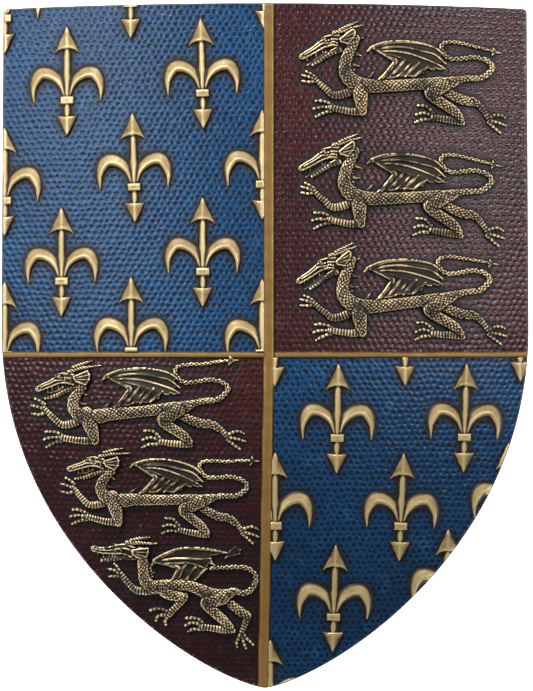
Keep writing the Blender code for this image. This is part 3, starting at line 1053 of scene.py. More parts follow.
# The poses' own points, in units
WALKING = Pose(
    spine=((-44, 40, 9), (-48, 32, 11.5), (-52.5, 23, 13), (-55, 13, 14.5), (-53, 3, 16.5), (-43, -5, 18),
           (-26, -7, 15.5), (-3, -6, 13.5), (22, -4, 13.5), (38, -4, 17), (50, -2, 14), (58, 1, 9)),
    belly=((-42, 36, 4), (-46, 26, 4.4), (-48.5, 15, 5), (-45.5, 6, 4)),
    tail=((52, -1, 11), (58, 1, 8.5), (70, 3, 7.8), (82, 4, 7.2), (90, 9, 7), (93.5, 15.5, 6.8), (86.5, 22, 6.6),
          (74, 24, 6.4), (62, 22.4, 6.2), (51, 22, 6.2), (44.5, 26.5, 6), (41, 32.5, 5.8), (45, 38, 5.4),
          (54, 39, 5.2), (66, 37, 5), (78, 34.5, 4.6), (90, 32, 4), (97, 29.5, 3)),
    near_fore=((-42, -4, 15), (-40, -14, 17), (-39, -24, 14), (-38, -32, 11)),
    near_fore_arm=((-38, -32, 10.5), (-48, -32.5, 9), (-58, -31, 8), (-65, -29.5, 8), (-69, -28.5, 7.5)),
    far_fore=((-48, -12, 10), (-60, -16, 10), (-68, -15.5, 9), (-74, -10, 8), (-79, -6, 7.5), (-85, 0, 6.5)),
    near_hind=((44, -4, 17), (37, -8, 18), (31, -13, 15.5), (38, -20, 12.5), (54, -30, 11.5), (61, -38, 9)),
    near_foot=((63, -41.5, 7), (58, -40.5, 8.5), (48, -39, 8.5), (40, -38, 8), (33, -36.5, 7.5)),
    far_hind=((46, -11, 10), (56, -16, 11.5), (66, -19.5, 11.5), (75, -20.5, 10), (82, -25.5, 7.5)),
    far_foot=((79, -23, 8.5), (84.5, -29, 7), (88, -34, 7), (91, -38, 6.5)),
    skull=((-56, 36, 13), (-62, 38, 15.5), (-69, 38, 14), (-77, 34.5, 11), (-86, 28.5, 8.6), (-93, 24.5, 8),
           (-98, 21.5, 7)),
    jaw=((-61, 29, 8), (-70, 24.5, 6), (-79, 18.5, 5), (-87, 13.5, 4)),
    tongue=((-74, 26, 4), (-84, 18.5, 3.4), (-93, 13, 2.2)),
    eye=(-75, 38.5),
    ear=((-61, 38.5), (-55, 46), (-46.5, 50.8), (-44, 48), (-43.6, 44), (-47, 38), (-53, 32)),
    ear_ribs=(((-60, 39, 2.5), (-47.5, 49, 1.6)), ((-60, 38.5, 2.5), (-45.5, 45.5, 1.6)),
              ((-59, 37.5, 2.5), (-46, 40.5, 1.6)), ((-59, 36.5, 2.5), (-51, 34.5, 1.6))),
    horns=(((-66, 45.5, 5), (-58, 47.5, 4.2), (-48, 50.5, 3.2), (-38.5, 53.5, 1.6)),
           ((-60, 48.5, 4.4), (-52, 52.5, 3.6), (-42.5, 56.8, 1.6))),
    toes=(((-66, -27.5, 5.6), (-72, -23.6, 4.6), (-79, -22, 4.6), (-84, -22.2, 3.8)),
          ((-67, -29.5, 5.4), (-74, -28.4, 4.4), (-80, -28.4, 4.6), (-86, -29.8, 3.8)),
          ((-67, -31.5, 5.4), (-73, -33, 4.4), (-79, -35.2, 4.6), (-83.5, -37.6, 3.8)),
          ((-84.5, 1.6, 5), (-89, 5, 4.2), (-93.5, 7.2, 3.6)), ((-85, 0, 5), (-91, 1.8, 4.2), (-97, 3.4, 3.4)),
          ((-85, -2, 5), (-90, -3.4, 4.2), (-97, -2.4, 3.4)),
          ((34, -34, 5.6), (29, -28, 4.6), (24, -25.4, 4.6), (18, -25.4, 3.8)),
          ((34, -36.5, 5.4), (28, -33.5, 4.4), (22, -32.6, 4.6), (16, -34.4, 3.8)),
          ((36, -39, 5.4), (29, -39, 4.4), (22, -39.4, 4.6), (15.5, -42, 3.8)),
          ((90, -36, 5.4), (96, -33.2, 4.4), (102, -33, 4.4), (106, -35, 3.4)),
          ((91, -39, 5.4), (97, -40, 4.4), (102, -41.2, 4.2), (107, -43, 3.4)),
          ((90, -41, 5.2), (95, -45.4, 4.4), (99, -48.6, 4.2), (102, -51, 3.4))),
    wing=((-26, 32), (-18, 35.5), (-10, 37.5), (6, 38.6), (22, 36.6), (35, 32.6), (43.5, 26.5), (40, 22.5), (46.5, 16.5),
          (40, 16.4), (46, 11), (40, 9.4), (35, 11), (31, 9), (27, 12), (24.5, 6), (18, 4), (15, 2), (4, 3), (-10, 0),
          (-20, 0), (-15, 9), (-8, 17)),
    fingers=(((-26, 31.5, 6.4), (-18, 35, 5), (-10, 37, 4.2), (6, 37.8, 4), (22, 35.8, 3.6), (35, 32, 3.2),
              (43, 26.6, 2.4)),
             ((-22, 30, 3.6), (-10, 32, 3.4), (6, 32, 3.2), (22, 29, 3), (35, 25.6, 2.6), (46, 16.8, 2)),
             ((-18, 27.6, 3.2), (-8, 28, 3), (6, 26.6, 3), (22, 22, 2.6), (38, 15.8, 2.2), (45.5, 11.4, 1.6)),
             ((-13, 24.6, 3), (-5, 23.4, 2.8), (6, 20, 2.6), (20, 15, 2.2), (34, 10.8, 1.6))),
    arm=((-21, -1, 4.6), (-15, 5, 4.6), (-8.5, 13, 5), (-5, 18.5, 5.4), (-12, 22.4, 3.8), (-20, 27, 4), (-27, 31.5, 5),
         (-33, 27.5, 2)),
    folds=(((5, 20, 3.4), (-3, 10, 3.8), (-10, 3, 3)), ((12, 18, 2.6), (4, 9, 2.6), (-3, 3, 2)),
           ((19, 17, 3.6), (11, 9.4, 4), (5, 3.5, 3)), ((28, 14, 3.2), (21, 9, 3.6), (15, 4, 2.6))),
    tail_tip=((92, 25), (94, 36.5), (98, 32), (108, 28.6), (97, 28)),
    spikes=(((-46, 26, 6), (-37, 22.5, 1.5)), ((-48, 14, 6), (-38.5, 13, 1.2)), ((-34, -2, 7), (-26, 8, 1)),
            ((-45, 38, 6), (-35, 42, 1.5))),
)

STALKING = replace(
    WALKING,
    near_fore=((-50, -5, 15), (-47.5, -15, 17), (-44.5, -25, 14), (-43, -33, 11)),
    near_fore_arm=((-43, -33, 10.5), (-55, -33, 9), (-65, -31.5, 8), (-73, -30, 8), (-77, -29, 7.5)),
    far_fore=((-56, -12, 10), (-69, -16, 10), (-77, -15.5, 9), (-83, -10, 8), (-88, -5, 7.5), (-94, 1.5, 6.5)),
    near_hind=((44, -4, 17), (36, -8, 18), (28, -14, 15.5), (33, -21, 12.5), (46, -30, 11.5), (53, -37.5, 9)),
    near_foot=((54, -40.5, 7), (48, -40, 8.5), (38, -39, 8.5), (31, -38, 8), (24, -36.5, 7.5)),
    far_foot=((79, -21, 8.5), (85, -26, 7), (89, -31, 7), (92, -35, 6.5)),
    toes=(
        moved(WALKING.toes[:3], -9, -0.5) + moved(WALKING.toes[3:4], -9, 4) + moved(WALKING.toes[4:5], -9.5, 1)
        + moved(WALKING.toes[5:6], -9, -1.5) + moved(WALKING.toes[6:9], -10, 0.5) + moved(WALKING.toes[9:], 1.5, 4)
    ),
    spine=((-53, 22, 11), (-59, 15, 12), (-63.5, 6, 13.5), (-62, -2, 14.5), (-54, -9, 16), (-40, -9, 17.5),
           (-26, -7, 15.5), (-3, -6, 13.5), (22, -4, 13.5), (38, -4, 17), (50, -2, 14), (58, 1, 9)),
    belly=((-50, 24, 4), (-53, 16, 4), (-57, 8, 4), (-56, 2, 3)),
    tail=WALKING.tail[:12] + (
        (45, 38.5, 5.4), (56, 40, 5.2), (69, 40, 5), (82, 41.5, 4.6), (95, 42.5, 4), (101, 42.5, 3)),
    tail_tip=((94, 36), (96, 49), (101, 44.5), (108, 42.5), (101, 40.5)),
    skull=((-55, 27, 12), (-61, 29, 14.5), (-69, 31, 13.5), (-77, 30, 11), (-86, 26, 8.6), (-93, 23.5, 8),
           (-99, 21, 7)),
    jaw=((-60, 20, 8), (-70, 18, 6), (-80, 13.5, 5.5), (-92, 11, 4)),
    tongue=((-74, 21, 3.4), (-82, 17.5, 3), (-89, 16.5, 2)),
    eye=(-77, 32.5),
    ear=((-62, 31), (-53, 37), (-46.5, 39), (-43.6, 34), (-44.5, 28), (-49, 22), (-55, 24)),
    ear_ribs=(((-61, 32, 2.5), (-47, 37.6, 1.6)), ((-61, 30.5, 2.5), (-45, 33.5, 1.6)),
              ((-60, 29, 2.5), (-45.5, 28.5, 1.6)), ((-59, 27.5, 2.5), (-49.5, 23.5, 1.6))),
    horns=(((-66, 37.5, 5), (-56, 40, 4.4), (-45, 41.5, 3.4), (-33, 42.5, 1.6)),
           ((-62, 41.5, 4.4), (-52, 45, 3.6), (-42, 47.5, 1.6))),
    spikes=(((-53, 15, 5), (-46, 12, 1)), ((-57, 5, 5), (-48, 4, 1)), ((-34, -2, 6), (-24, 6, 1))),
)

COILED = Pose(
    spine=((-40, 33, 11), (-38.5, 26, 12.5), (-38, 17, 12.7), (-36, 8, 14), (-29, 2, 16), (-18, 3, 15), (-9, 4, 14),
           (5, 4, 13), (18, 0, 14), (32, -6, 17), (44, -6, 15), (52, -2, 9)),
    belly=((-33, 28, 3), (-31, 20, 4), (-29, 12, 3)),
    tail=((46, -4, 11), (53, -1.5, 8.5), (62, -4, 7.8), (70, 0, 7.4), (75, 9, 7), (73, 17, 6.6), (65, 22, 6.4),
          (55, 23, 6), (44, 22, 5.8), (36, 22, 5.4), (30, 21, 5)),
    near_fore=((-20, 2, 14), (-15, -3, 15), (-8, -6.4, 13), (0, -8, 11)),
    near_fore_arm=((3, -8, 10), (0, -13, 8.5), (-4, -17, 8), (-9, -22, 8), (-12, -26, 7.6)),
    far_fore=((-28, -2, 10), (-38, -2.4, 10), (-46, -1.4, 9), (-52, 4, 8), (-58, 11, 7.4), (-61, 15, 6.8)),
    near_hind=((42, -8, 17), (34, -10, 18), (26, -14, 15.5), (32, -22, 12.5), (42, -31, 11.5), (49, -38, 9)),
    near_foot=((52, -42, 7), (46, -42, 8.5), (36, -40.6, 8.5), (28, -39.4, 8), (21, -38, 7.5)),
    far_hind=((46, -12, 10), (56, -20, 11.5), (63, -25, 11), (67, -27, 9.5), (65, -33, 8)),
    far_foot=((66, -31, 8.5), (63, -38, 7.2), (61, -44, 7), (60, -47, 6.6)),
    skull=((-42, 34, 11), (-48, 37, 14), (-56, 40, 14.5), (-64, 40, 12.5), (-73, 38.5, 9.5), (-81, 38.5, 7.6),
           (-88, 40, 7)),
    jaw=((-47, 32, 8), (-57, 31.5, 6), (-67, 29.5, 5), (-80, 28, 4)),
    tongue=((-62, 34.5, 3.4), (-71, 31.6, 2.8), (-80, 30.8, 2)),
    eye=(-72, 42),
    ear=((-50, 38), (-42, 43), (-31, 42.4), (-31.6, 37), (-33, 32), (-39, 29), (-46, 31)),
    ear_ribs=(((-49, 39, 2.5), (-32.5, 41.5, 1.6)), ((-49, 37.5, 2.5), (-32.5, 37, 1.6)),
              ((-48, 36, 2.5), (-35, 32.5, 1.6)), ((-48, 35, 2.5), (-40, 30.5, 1.6))),
    horns=(((-54, 47, 5.4), (-44, 46.6, 5), (-34, 46, 4), (-24, 46, 2)),
           ((-50, 49, 4.6), (-41, 51.4, 3.8), (-31, 52.4, 1.8))),
    toes=(((-13, -24, 5.6), (-19, -21, 4.6), (-25, -20.6, 4.6), (-31, -22, 3.8)),
          ((-14, -26.5, 5.4), (-20, -27, 4.4), (-24, -29, 4.4), (-25.6, -32.6, 3.6)),
          ((-13, -28, 5.4), (-16, -32.4, 4.4), (-15.6, -36.6, 3.8)),
          ((-62, 17, 5), (-64.4, 21.6, 4.2), (-67, 24.4, 3.4)), ((-62, 15, 5), (-67, 18, 4.2), (-73, 19.4, 3.4)),
          ((-61, 12.6, 5), (-67, 12, 4.2), (-72, 11.8, 3.4)),
          ((22, -35.4, 5.6), (17, -30.6, 4.6), (11, -29.6, 4.6), (5, -29.8, 3.8)),
          ((22, -38, 5.4), (15, -35, 4.4), (9, -34.8, 4.6), (4, -37.4, 3.8)),
          ((24, -40.4, 5.4), (17, -41, 4.4), (11, -41.4, 4.6), (7.6, -43.2, 3.8)),
          ((60, -46, 5.4), (57, -51, 4.4), (55.6, -55, 4.4), (56, -59, 3.4)),
          ((61, -47, 5.4), (62, -52.6, 4.4), (63.4, -57, 4.2), (65, -60.4, 3.4)),
          ((62, -46, 5.2), (66, -50.6, 4.4), (69, -53.6, 4.2), (72, -56.6, 3.4))),
    wing=((-26, 29), (-22, 33), (-18, 35.5), (-5, 41), (9.5, 43), (15, 43.6), (27, 41.6), (40, 39.6), (46.4, 37.4),
          (40, 35), (30, 33), (34.4, 24.4), (28, 25), (26, 20.4), (23, 19), (18, 13), (15, 8.6), (4, 8), (-8, 6),
          (-10, 10), (-4, 21)),
    fingers=(((-26, 28.5, 6.4), (-18, 34, 5), (-5, 39.6, 4.4), (9.5, 41.6, 4.2), (27, 40.6, 3.6), (40, 38.4, 3),
              (46, 37.2, 2)),
             ((-20, 28.5, 3.6), (-10, 30.4, 3.4), (2, 31, 3.4), (19, 30.6, 3), (30, 31.4, 2.2)),
             ((19, 30.6, 2.6), (28, 28, 2.2), (34, 24.6, 1.8)),
             ((-14, 25.6, 3.2), (-4, 26.4, 3), (7, 27, 3), (17, 24.4, 2.4), (26, 20.6, 1.8))),
    arm=((-9, 4, 5), (-7, 11, 5), (-3.4, 18, 5.2), (-3, 21.6, 5.4), (-10, 24, 4), (-18, 26, 4), (-25.6, 28, 5),
         (-29.4, 23.4, 2)),
    folds=(((5, 25, 3.6), (0, 17, 4), (-3, 9, 3)), ((15, 23, 3.6), (9, 15, 4), (5, 9, 3)),
           ((24, 20, 3.2), (19, 15, 3.4), (14, 10, 2.6))),
    tail_tip=((42, 30), (48, 40), (54, 45), (61, 41), (60, 35), (52, 33)),
    spikes=(((-31, 24, 4), (-25, 26, 1)), ((-31, 16, 4), (-25, 16.5, 1))),
)


@dataclass
class Dragon:
    """One dragon in relief."""

    name: str
    pose: Pose
    place: Place
    step: float = 0.00036
    grid: Grid | None = None

    def build(self) -> None:
        """Makes the dragon as one piece."""
        corners = np.array([(-112.0, -70.0), (116.0, -70.0), (-112.0, 64.0), (116.0, 64.0)])
        reach = self.place.spots(corners)
        self.grid = Grid(tuple(reach.min(axis=0)), tuple(reach.max(axis=0)), self.step)
        for part in self.pose.parts():
            part.carve_on(self.grid, self.place)
        limit = (edge_distance(self.grid.x, self.grid.y) - 0.4 * MM) * 2.5
        self.grid.height = np.minimum(self.grid.height, limit)
        dress(relief_object(self.name, [self.grid], 0.0005), Finish.DRAGON)


# Hammered fields


@dataclass
class Shadow:
    """How near each place on the board is to a figure, over a coarse grid."""

    step: float = 0.0007
    grid: Grid = field(init=False)
    near: np.ndarray = field(init=False)

    def __post_init__(self) -> None:
        """Starts with no figure."""
        self.grid = Grid((-BOARD.half, -BOARD.top), (BOARD.half, BOARD.top), self.step)
        self.near = np.zeros(self.grid.x.shape)

    def add(self, figure: Grid) -> None:
        """Marks the places that a figure covers."""
        every = max(1, int(round(self.step / figure.step)))
        x, y = figure.x[::every, ::every], figure.y[::every, ::every]
        covered = figure.height[::every, ::every] > 0
        columns = np.round((x[covered] + BOARD.half) / self.step).astype(int)
        rows = np.round((y[covered] + BOARD.top) / self.step).astype(int)
        inside = (columns >= 0) & (rows >= 0) & (columns < self.near.shape[1]) & (rows < self.near.shape[0])
        self.near[rows[inside], columns[inside]] = 1

    def spread(self) -> None:
        """Lets the marks fade out over the ground beside the figures."""
        wide = softened(self.near, 3)
        self.near = np.clip(wide * 1.9, 0, 1)

    def at(self, x: np.ndarray, y: np.ndarray) -> np.ndarray:
        """The marks at some places, between 0 and 1."""
        column = np.clip((x + BOARD.half) / self.step, 0, self.near.shape[1] - 1.001)
        row = np.clip((y + BOARD.top) / self.step, 0, self.near.shape[0] - 1.001)
        i, j = row.astype(int), column.astype(int)
        u, v = row - i, column - j
        upper = self.near[i, j] * (1 - v) + self.near[i, j + 1] * v
        lower = self.near[i + 1, j] * (1 - v) + self.near[i + 1, j + 1] * v
        return upper * (1 - u) + lower * u


class PitNodes:
    """The Geometry Nodes tree that lays six-sided tiles, each with a hammer pit, side by side."""

    NUMBERS = {
        "Pitch": 0.0043, "Pit Radius": 0.00122, "Pit Depth": 0.0005, "Size Spread": 0.2, "Stray": 0.0009,
        "Pit Shift": 0.0003,
    }
    SIDES = 12

    def __init__(self, material: bpy.types.Material) -> None:
        """Builds the tree.

        Args:
            material: the paint that the field gets.
        """
        self.tree = bpy.data.node_groups.new("hammered_field", "GeometryNodeTree")
        self.tree.interface.new_socket("Geometry", in_out="INPUT", socket_type="NodeSocketGeometry")
        for name, value in self.NUMBERS.items():
            socket = self.tree.interface.new_socket(name, in_out="INPUT", socket_type="NodeSocketFloat")
            socket.default_value = value
        seed = self.tree.interface.new_socket("Seed", in_out="INPUT", socket_type="NodeSocketInt")
        seed.default_value = 7
        self.tree.interface.new_socket("Geometry", in_out="OUTPUT", socket_type="NodeSocketGeometry")
        self.inputs = self.tree.nodes.new("NodeGroupInput").outputs
        tile = self._tile()
        field_of_tiles = self._laid(tile)
        painted = self.node("GeometryNodeSetMaterial", {}, {"Geometry": field_of_tiles, "Material": material})
        output = self.tree.nodes.new("NodeGroupOutput")
        self.tree.links.new(painted.outputs[0], output.inputs[0])

    def node(self, kind: str, settings: dict, inputs: dict) -> bpy.types.Node:
        """Adds a node.

        Args:
            kind: the node's type.
            settings: its properties, set first.
            inputs: values or output sockets, by name or number.

        Returns:
            The node.
        """
        made = self.tree.nodes.new(kind)
        for name, value in settings.items():
            setattr(made, name, value)
        for key, value in inputs.items():
            if isinstance(value, bpy.types.NodeSocket):
                self.tree.links.new(value, made.inputs[key])
            else:
                made.inputs[key].default_value = value
        return made

    def maths(self, operation: str, first: object, second: object = 0.0) -> bpy.types.NodeSocket:
        """One Math node's output."""
        return self.node("ShaderNodeMath", {"operation": operation}, {0: first, 1: second}).outputs[0]

    def vector(self, operation: str, first: object, second: object) -> bpy.types.NodeSocket:
        """One Vector Math node's output."""
        key = "Scale" if operation == "SCALE" else 1
        return self.node("ShaderNodeVectorMath", {"operation": operation}, {0: first, key: second}).outputs[0]

    def joined(self, *parts: bpy.types.NodeSocket) -> bpy.types.NodeSocket:
        """Several meshes as one, with the points that meet made one."""
        join = self.node("GeometryNodeJoinGeometry", {}, {})
        for part in parts:
            self.tree.links.new(part, join.inputs[0])
        merge = self.node("GeometryNodeMergeByDistance", {}, {"Geometry": join.outputs[0], "Distance": 2e-6})
        return merge.outputs[0]

    def _tile(self) -> bpy.types.NodeSocket:
        """One tile: a flat ring from a six-sided border to the pit's rim, and the bowl in it.

        Returns:
            The tile's mesh, with 1 stored as "inner" on the pit's own points.
        """
        radius, depth = self.inputs["Pit Radius"], self.inputs["Pit Depth"]
        border = self.maths("DIVIDE", self.inputs["Pitch"], math.sqrt(3))
        cone = {"fill_type": "NONE"}
        ring = self.node("GeometryNodeMeshCone", cone, {
            "Vertices": self.SIDES, "Side Segments": 1, "Radius Top": radius, "Radius Bottom": border, "Depth": 0.0,
        })
        place = self.node("GeometryNodeInputPosition", {}, {}).outputs[0]
        away = self.node("ShaderNodeVectorMath", {"operation": "LENGTH"}, {0: place}).outputs["Value"]
        between = self.maths("MULTIPLY", self.maths("ADD", radius, border), 0.5)
        outer = self.maths("GREATER_THAN", away, between)
        index = self.node("GeometryNodeInputIndex", {}, {}).outputs[0]
        even = self.maths("SUBTRACT", 1.0, self.maths("MODULO", index, 2.0))
        drawn_in = self.maths("MULTIPLY", self.maths("MULTIPLY", outer, even), 1 - math.cos(math.pi / 6))
        six_sided = self.vector("SCALE", place, self.maths("SUBTRACT", 1.0, drawn_in))
        flat = self.node("GeometryNodeSetPosition", {}, {"Geometry": ring.outputs[0], "Position": six_sided})
        hollow = self.node("GeometryNodeMeshCone", cone, {
            "Vertices": self.SIDES, "Side Segments": 1, "Radius Top": 0.0, "Radius Bottom": radius, "Depth": depth,
        })
        turned = self.node(
            "GeometryNodeTransform", {}, {"Geometry": hollow.outputs[0], "Rotation": (math.pi, 0.0, 0.0)}
        )
        upwards = self.node("GeometryNodeFlipFaces", {}, {0: turned.outputs[0]})
        tile = self.joined(flat.outputs[0], upwards.outputs[0])
        inner = self.maths("LESS_THAN", away, between)
        return self.stored(tile, "inner", "FLOAT", "POINT", inner)

    def stored(
        self, mesh: bpy.types.NodeSocket, name: str, kind: str, domain: str, value: bpy.types.NodeSocket
    ) -> bpy.types.NodeSocket:
        """A mesh with a value stored on it.

        Args:
            mesh: the mesh.
            name: the attribute's name.
            kind: its data type.
            domain: what it is stored on.
            value: the value.

        Returns:
            The mesh.
        """
        settings = {"data_type": kind, "domain": domain}
        inputs = {"Geometry": mesh, "Name": name, "Value": value}
        return self.node("GeometryNodeStoreNamedAttribute", settings, inputs).outputs[0]

    def read(self, name: str, kind: str) -> bpy.types.NodeSocket:
        """A stored value."""
        return self.node("GeometryNodeInputNamedAttribute", {"data_type": kind}, {"Name": name}).outputs[0]

    def _laid(self, tile: bpy.types.NodeSocket) -> bpy.types.NodeSocket:
        """The tiles side by side, their pits of unlike sizes and everything a little astray.

        Args:
            tile: one tile.

        Returns:
            The field's mesh.
        """
        points = self.node("GeometryNodeMeshToPoints", {}, {"Mesh": self.inputs["Geometry"]})
        laid = self.node("GeometryNodeInstanceOnPoints", {}, {"Points": points.outputs[0], "Instance": tile})
        place = self.node("GeometryNodeInputPosition", {}, {}).outputs[0]
        spread = self.inputs["Size Spread"]
        chance = self.node("FunctionNodeRandomValue", {"data_type": "FLOAT"}, {
            2: self.maths("MULTIPLY", spread, -1.0), 3: spread, "Seed": self.inputs["Seed"],
        })
        marked = self.stored(laid.outputs[0], "middle", "FLOAT_VECTOR", "INSTANCE", place)
        marked = self.stored(marked, "growth", "FLOAT", "INSTANCE", chance.outputs[1])
        aside = self.node("FunctionNodeRandomValue", {"data_type": "FLOAT_VECTOR"}, {
            0: (-1.0, -1.0, 0.0), 1: (1.0, 1.0, 0.0), "Seed": self.maths("ADD", self.inputs["Seed"], 1.0),
        })
        marked = self.stored(marked, "aside", "FLOAT_VECTOR", "INSTANCE", aside.outputs[0])
        real = self.node("GeometryNodeRealizeInstances", {}, {0: marked})
        whole = self.joined(real.outputs[0])
        from_middle = self.vector("SUBTRACT", place, self.read("middle", "FLOAT_VECTOR"))
        growth = self.maths("MULTIPLY", self.read("inner", "FLOAT"), self.read("growth", "FLOAT"))
        inner = self.maths("MULTIPLY", self.read("inner", "FLOAT"), self.inputs["Pit Shift"])
        shifted = self.vector("SCALE", self.read("aside", "FLOAT_VECTOR"), inner)
        grown = self.vector("ADD", self.vector("SCALE", from_middle, growth), shifted)
        start = self.maths("MULTIPLY", self.inputs["Seed"], 10.0)
        moved = self.vector("ADD", self.vector("SCALE", place, 130.0), self.node(
            "ShaderNodeCombineXYZ", {}, {"X": start}
        ).outputs[0])
        noise = self.node("ShaderNodeTexNoise", {}, {"Vector": moved, "Scale": 1.0, "Detail": 1.0})
        centred = self.vector("SUBTRACT", noise.outputs["Color"], (0.5, 0.5, 0.5))
        level = self.vector("MULTIPLY", centred, (4.0, 4.0, 0.0))
        astray = self.vector("SCALE", level, self.inputs["Stray"])
        offset = self.vector("ADD", grown, astray)
        return self.node("GeometryNodeSetPosition", {}, {"Geometry": whole, "Offset": offset}).outputs[0]

    def identifier(self, name: str) -> str:
        """The modifier's key of a named input."""
        found = [item for item in self.tree.interface.items_tree if item.name == name and item.in_out == "INPUT"]
        return found[0].identifier


@dataclass
class HammeredField:
    """One quarter of the face: painted ground with hammer pits."""

    name: str
    finish: Finish
    slot: str
    side: int
    upper: bool
    band: CrossBand
    shadow: Shadow
    seed: int
    pitch: float = 0.0043
    pit_radius: float = 0.00142
    pit_depth: float = 0.00085
    inset: float = 0.0009

    def inside(self, x: np.ndarray, y: np.ndarray) -> np.ndarray:
        """How far places lie inside the quarter, in metres."""
        upright = (x - self.band.middle(y)) * self.side
        level = (y - self.band.level) * (1 if self.upper else -1)
        return np.minimum(np.minimum(upright, level), edge_distance(x, y) - self.inset)

    def middles(self) -> np.ndarray:
        """Where the tiles are: staggered rows over the quarter.

        Returns:
            Their middles.
        """
        rows = np.arange(-BOARD.top, BOARD.top + self.pitch, self.pitch * math.sqrt(3) / 2)
        columns = np.arange(-BOARD.half, BOARD.half + self.pitch, self.pitch)
        x, y = np.meshgrid(columns, rows)
        x[1::2] += self.pitch / 2
        kept = self.inside(x, y) > -0.35 * self.pitch
        return np.stack([x[kept], y[kept], np.zeros(int(kept.sum()))], axis=1)

    def drawn_in(self, x: np.ndarray, y: np.ndarray) -> tuple[np.ndarray, np.ndarray]:
        """Places drawn in to the quarter's border where they lie outside it.

        Args:
            x: places across the board.
            y: places along it.

        Returns:
            The new places.
        """
        y = np.clip(y, 0.002 - BOARD.top, BOARD.top - self.inset)
        y = np.maximum(y, self.band.level) if self.upper else np.minimum(y, self.band.level)
        reach = np.maximum(BOARD.half_width(BOARD.top - y) - self.inset, 0)
        x = np.clip(x, -reach, reach)
        middle = self.band.middle(y)
        return (np.maximum(x, middle) if self.side > 0 else np.minimum(x, middle)), y

    def build(self) -> None:
        """Makes the field as one piece."""
        mesh = bpy.data.meshes.new(self.name)
        mesh.from_pydata(self.middles().tolist(), [], [])
        obj = bpy.data.objects.new(self.name, mesh)
        bpy.context.scene.collection.objects.link(obj)
        nodes = PitNodes(material_of(self.finish))
        modifier = obj.modifiers.new("pits", "NODES")
        modifier.node_group = nodes.tree
        modifier[nodes.identifier("Pitch")] = self.pitch
        modifier[nodes.identifier("Pit Radius")] = self.pit_radius
        modifier[nodes.identifier("Pit Depth")] = self.pit_depth
        modifier[nodes.identifier("Seed")] = self.seed
        bpy.context.view_layer.update()
        graph = bpy.context.evaluated_depsgraph_get()
        made = bpy.data.meshes.new_from_object(obj.evaluated_get(graph))
        obj.modifiers.clear()
        obj.data = made
        self.drape(obj)
        planar_map(obj)
        dress(obj, self.finish)

    def drape(self, obj: bpy.types.Object) -> None:
        """Lays the flat field on the bulging face and stores how deep its pits are and how much painted shade lies
        round the figures.

        Args:
            obj: the field.
        """
        mesh = obj.data
        points = np.empty(len(mesh.vertices) * 3)
        mesh.vertices.foreach_get("co", points)
        x, y, z = points.reshape(-1, 3).T
        x, y = self.drawn_in(x, y)
        near = self.shadow.at(x, y)
        store(obj, "pit", np.clip(-z / self.pit_depth, 0, 1))
        # painted shade round the figures, from how near each place is to one
        store(obj, "wash", near)
        at_edge = np.clip(self.inside(x, y) / (2 * MM), 0, 1)
        height = BOARD.face(x, y) + z * (1 - 0.5 * near) * at_edge
        mesh.vertices.foreach_set("co", np.stack([x, y, height], axis=1).ravel())
        mesh.update()


def inset_loop(loop: np.ndarray, inset: float) -> np.ndarray:
    """A closed outline moved inwards.

    Args:
        loop: its points, anticlockwise.
        inset: how far.

    Returns:
        The moved points.
    """
    along = np.roll(loop, -1, axis=0) - np.roll(loop, 1, axis=0)
    along /= np.linalg.norm(along, axis=1)[:, None]
    return loop + np.stack([-along[:, 1], along[:, 0]], axis=1) * inset


# The board


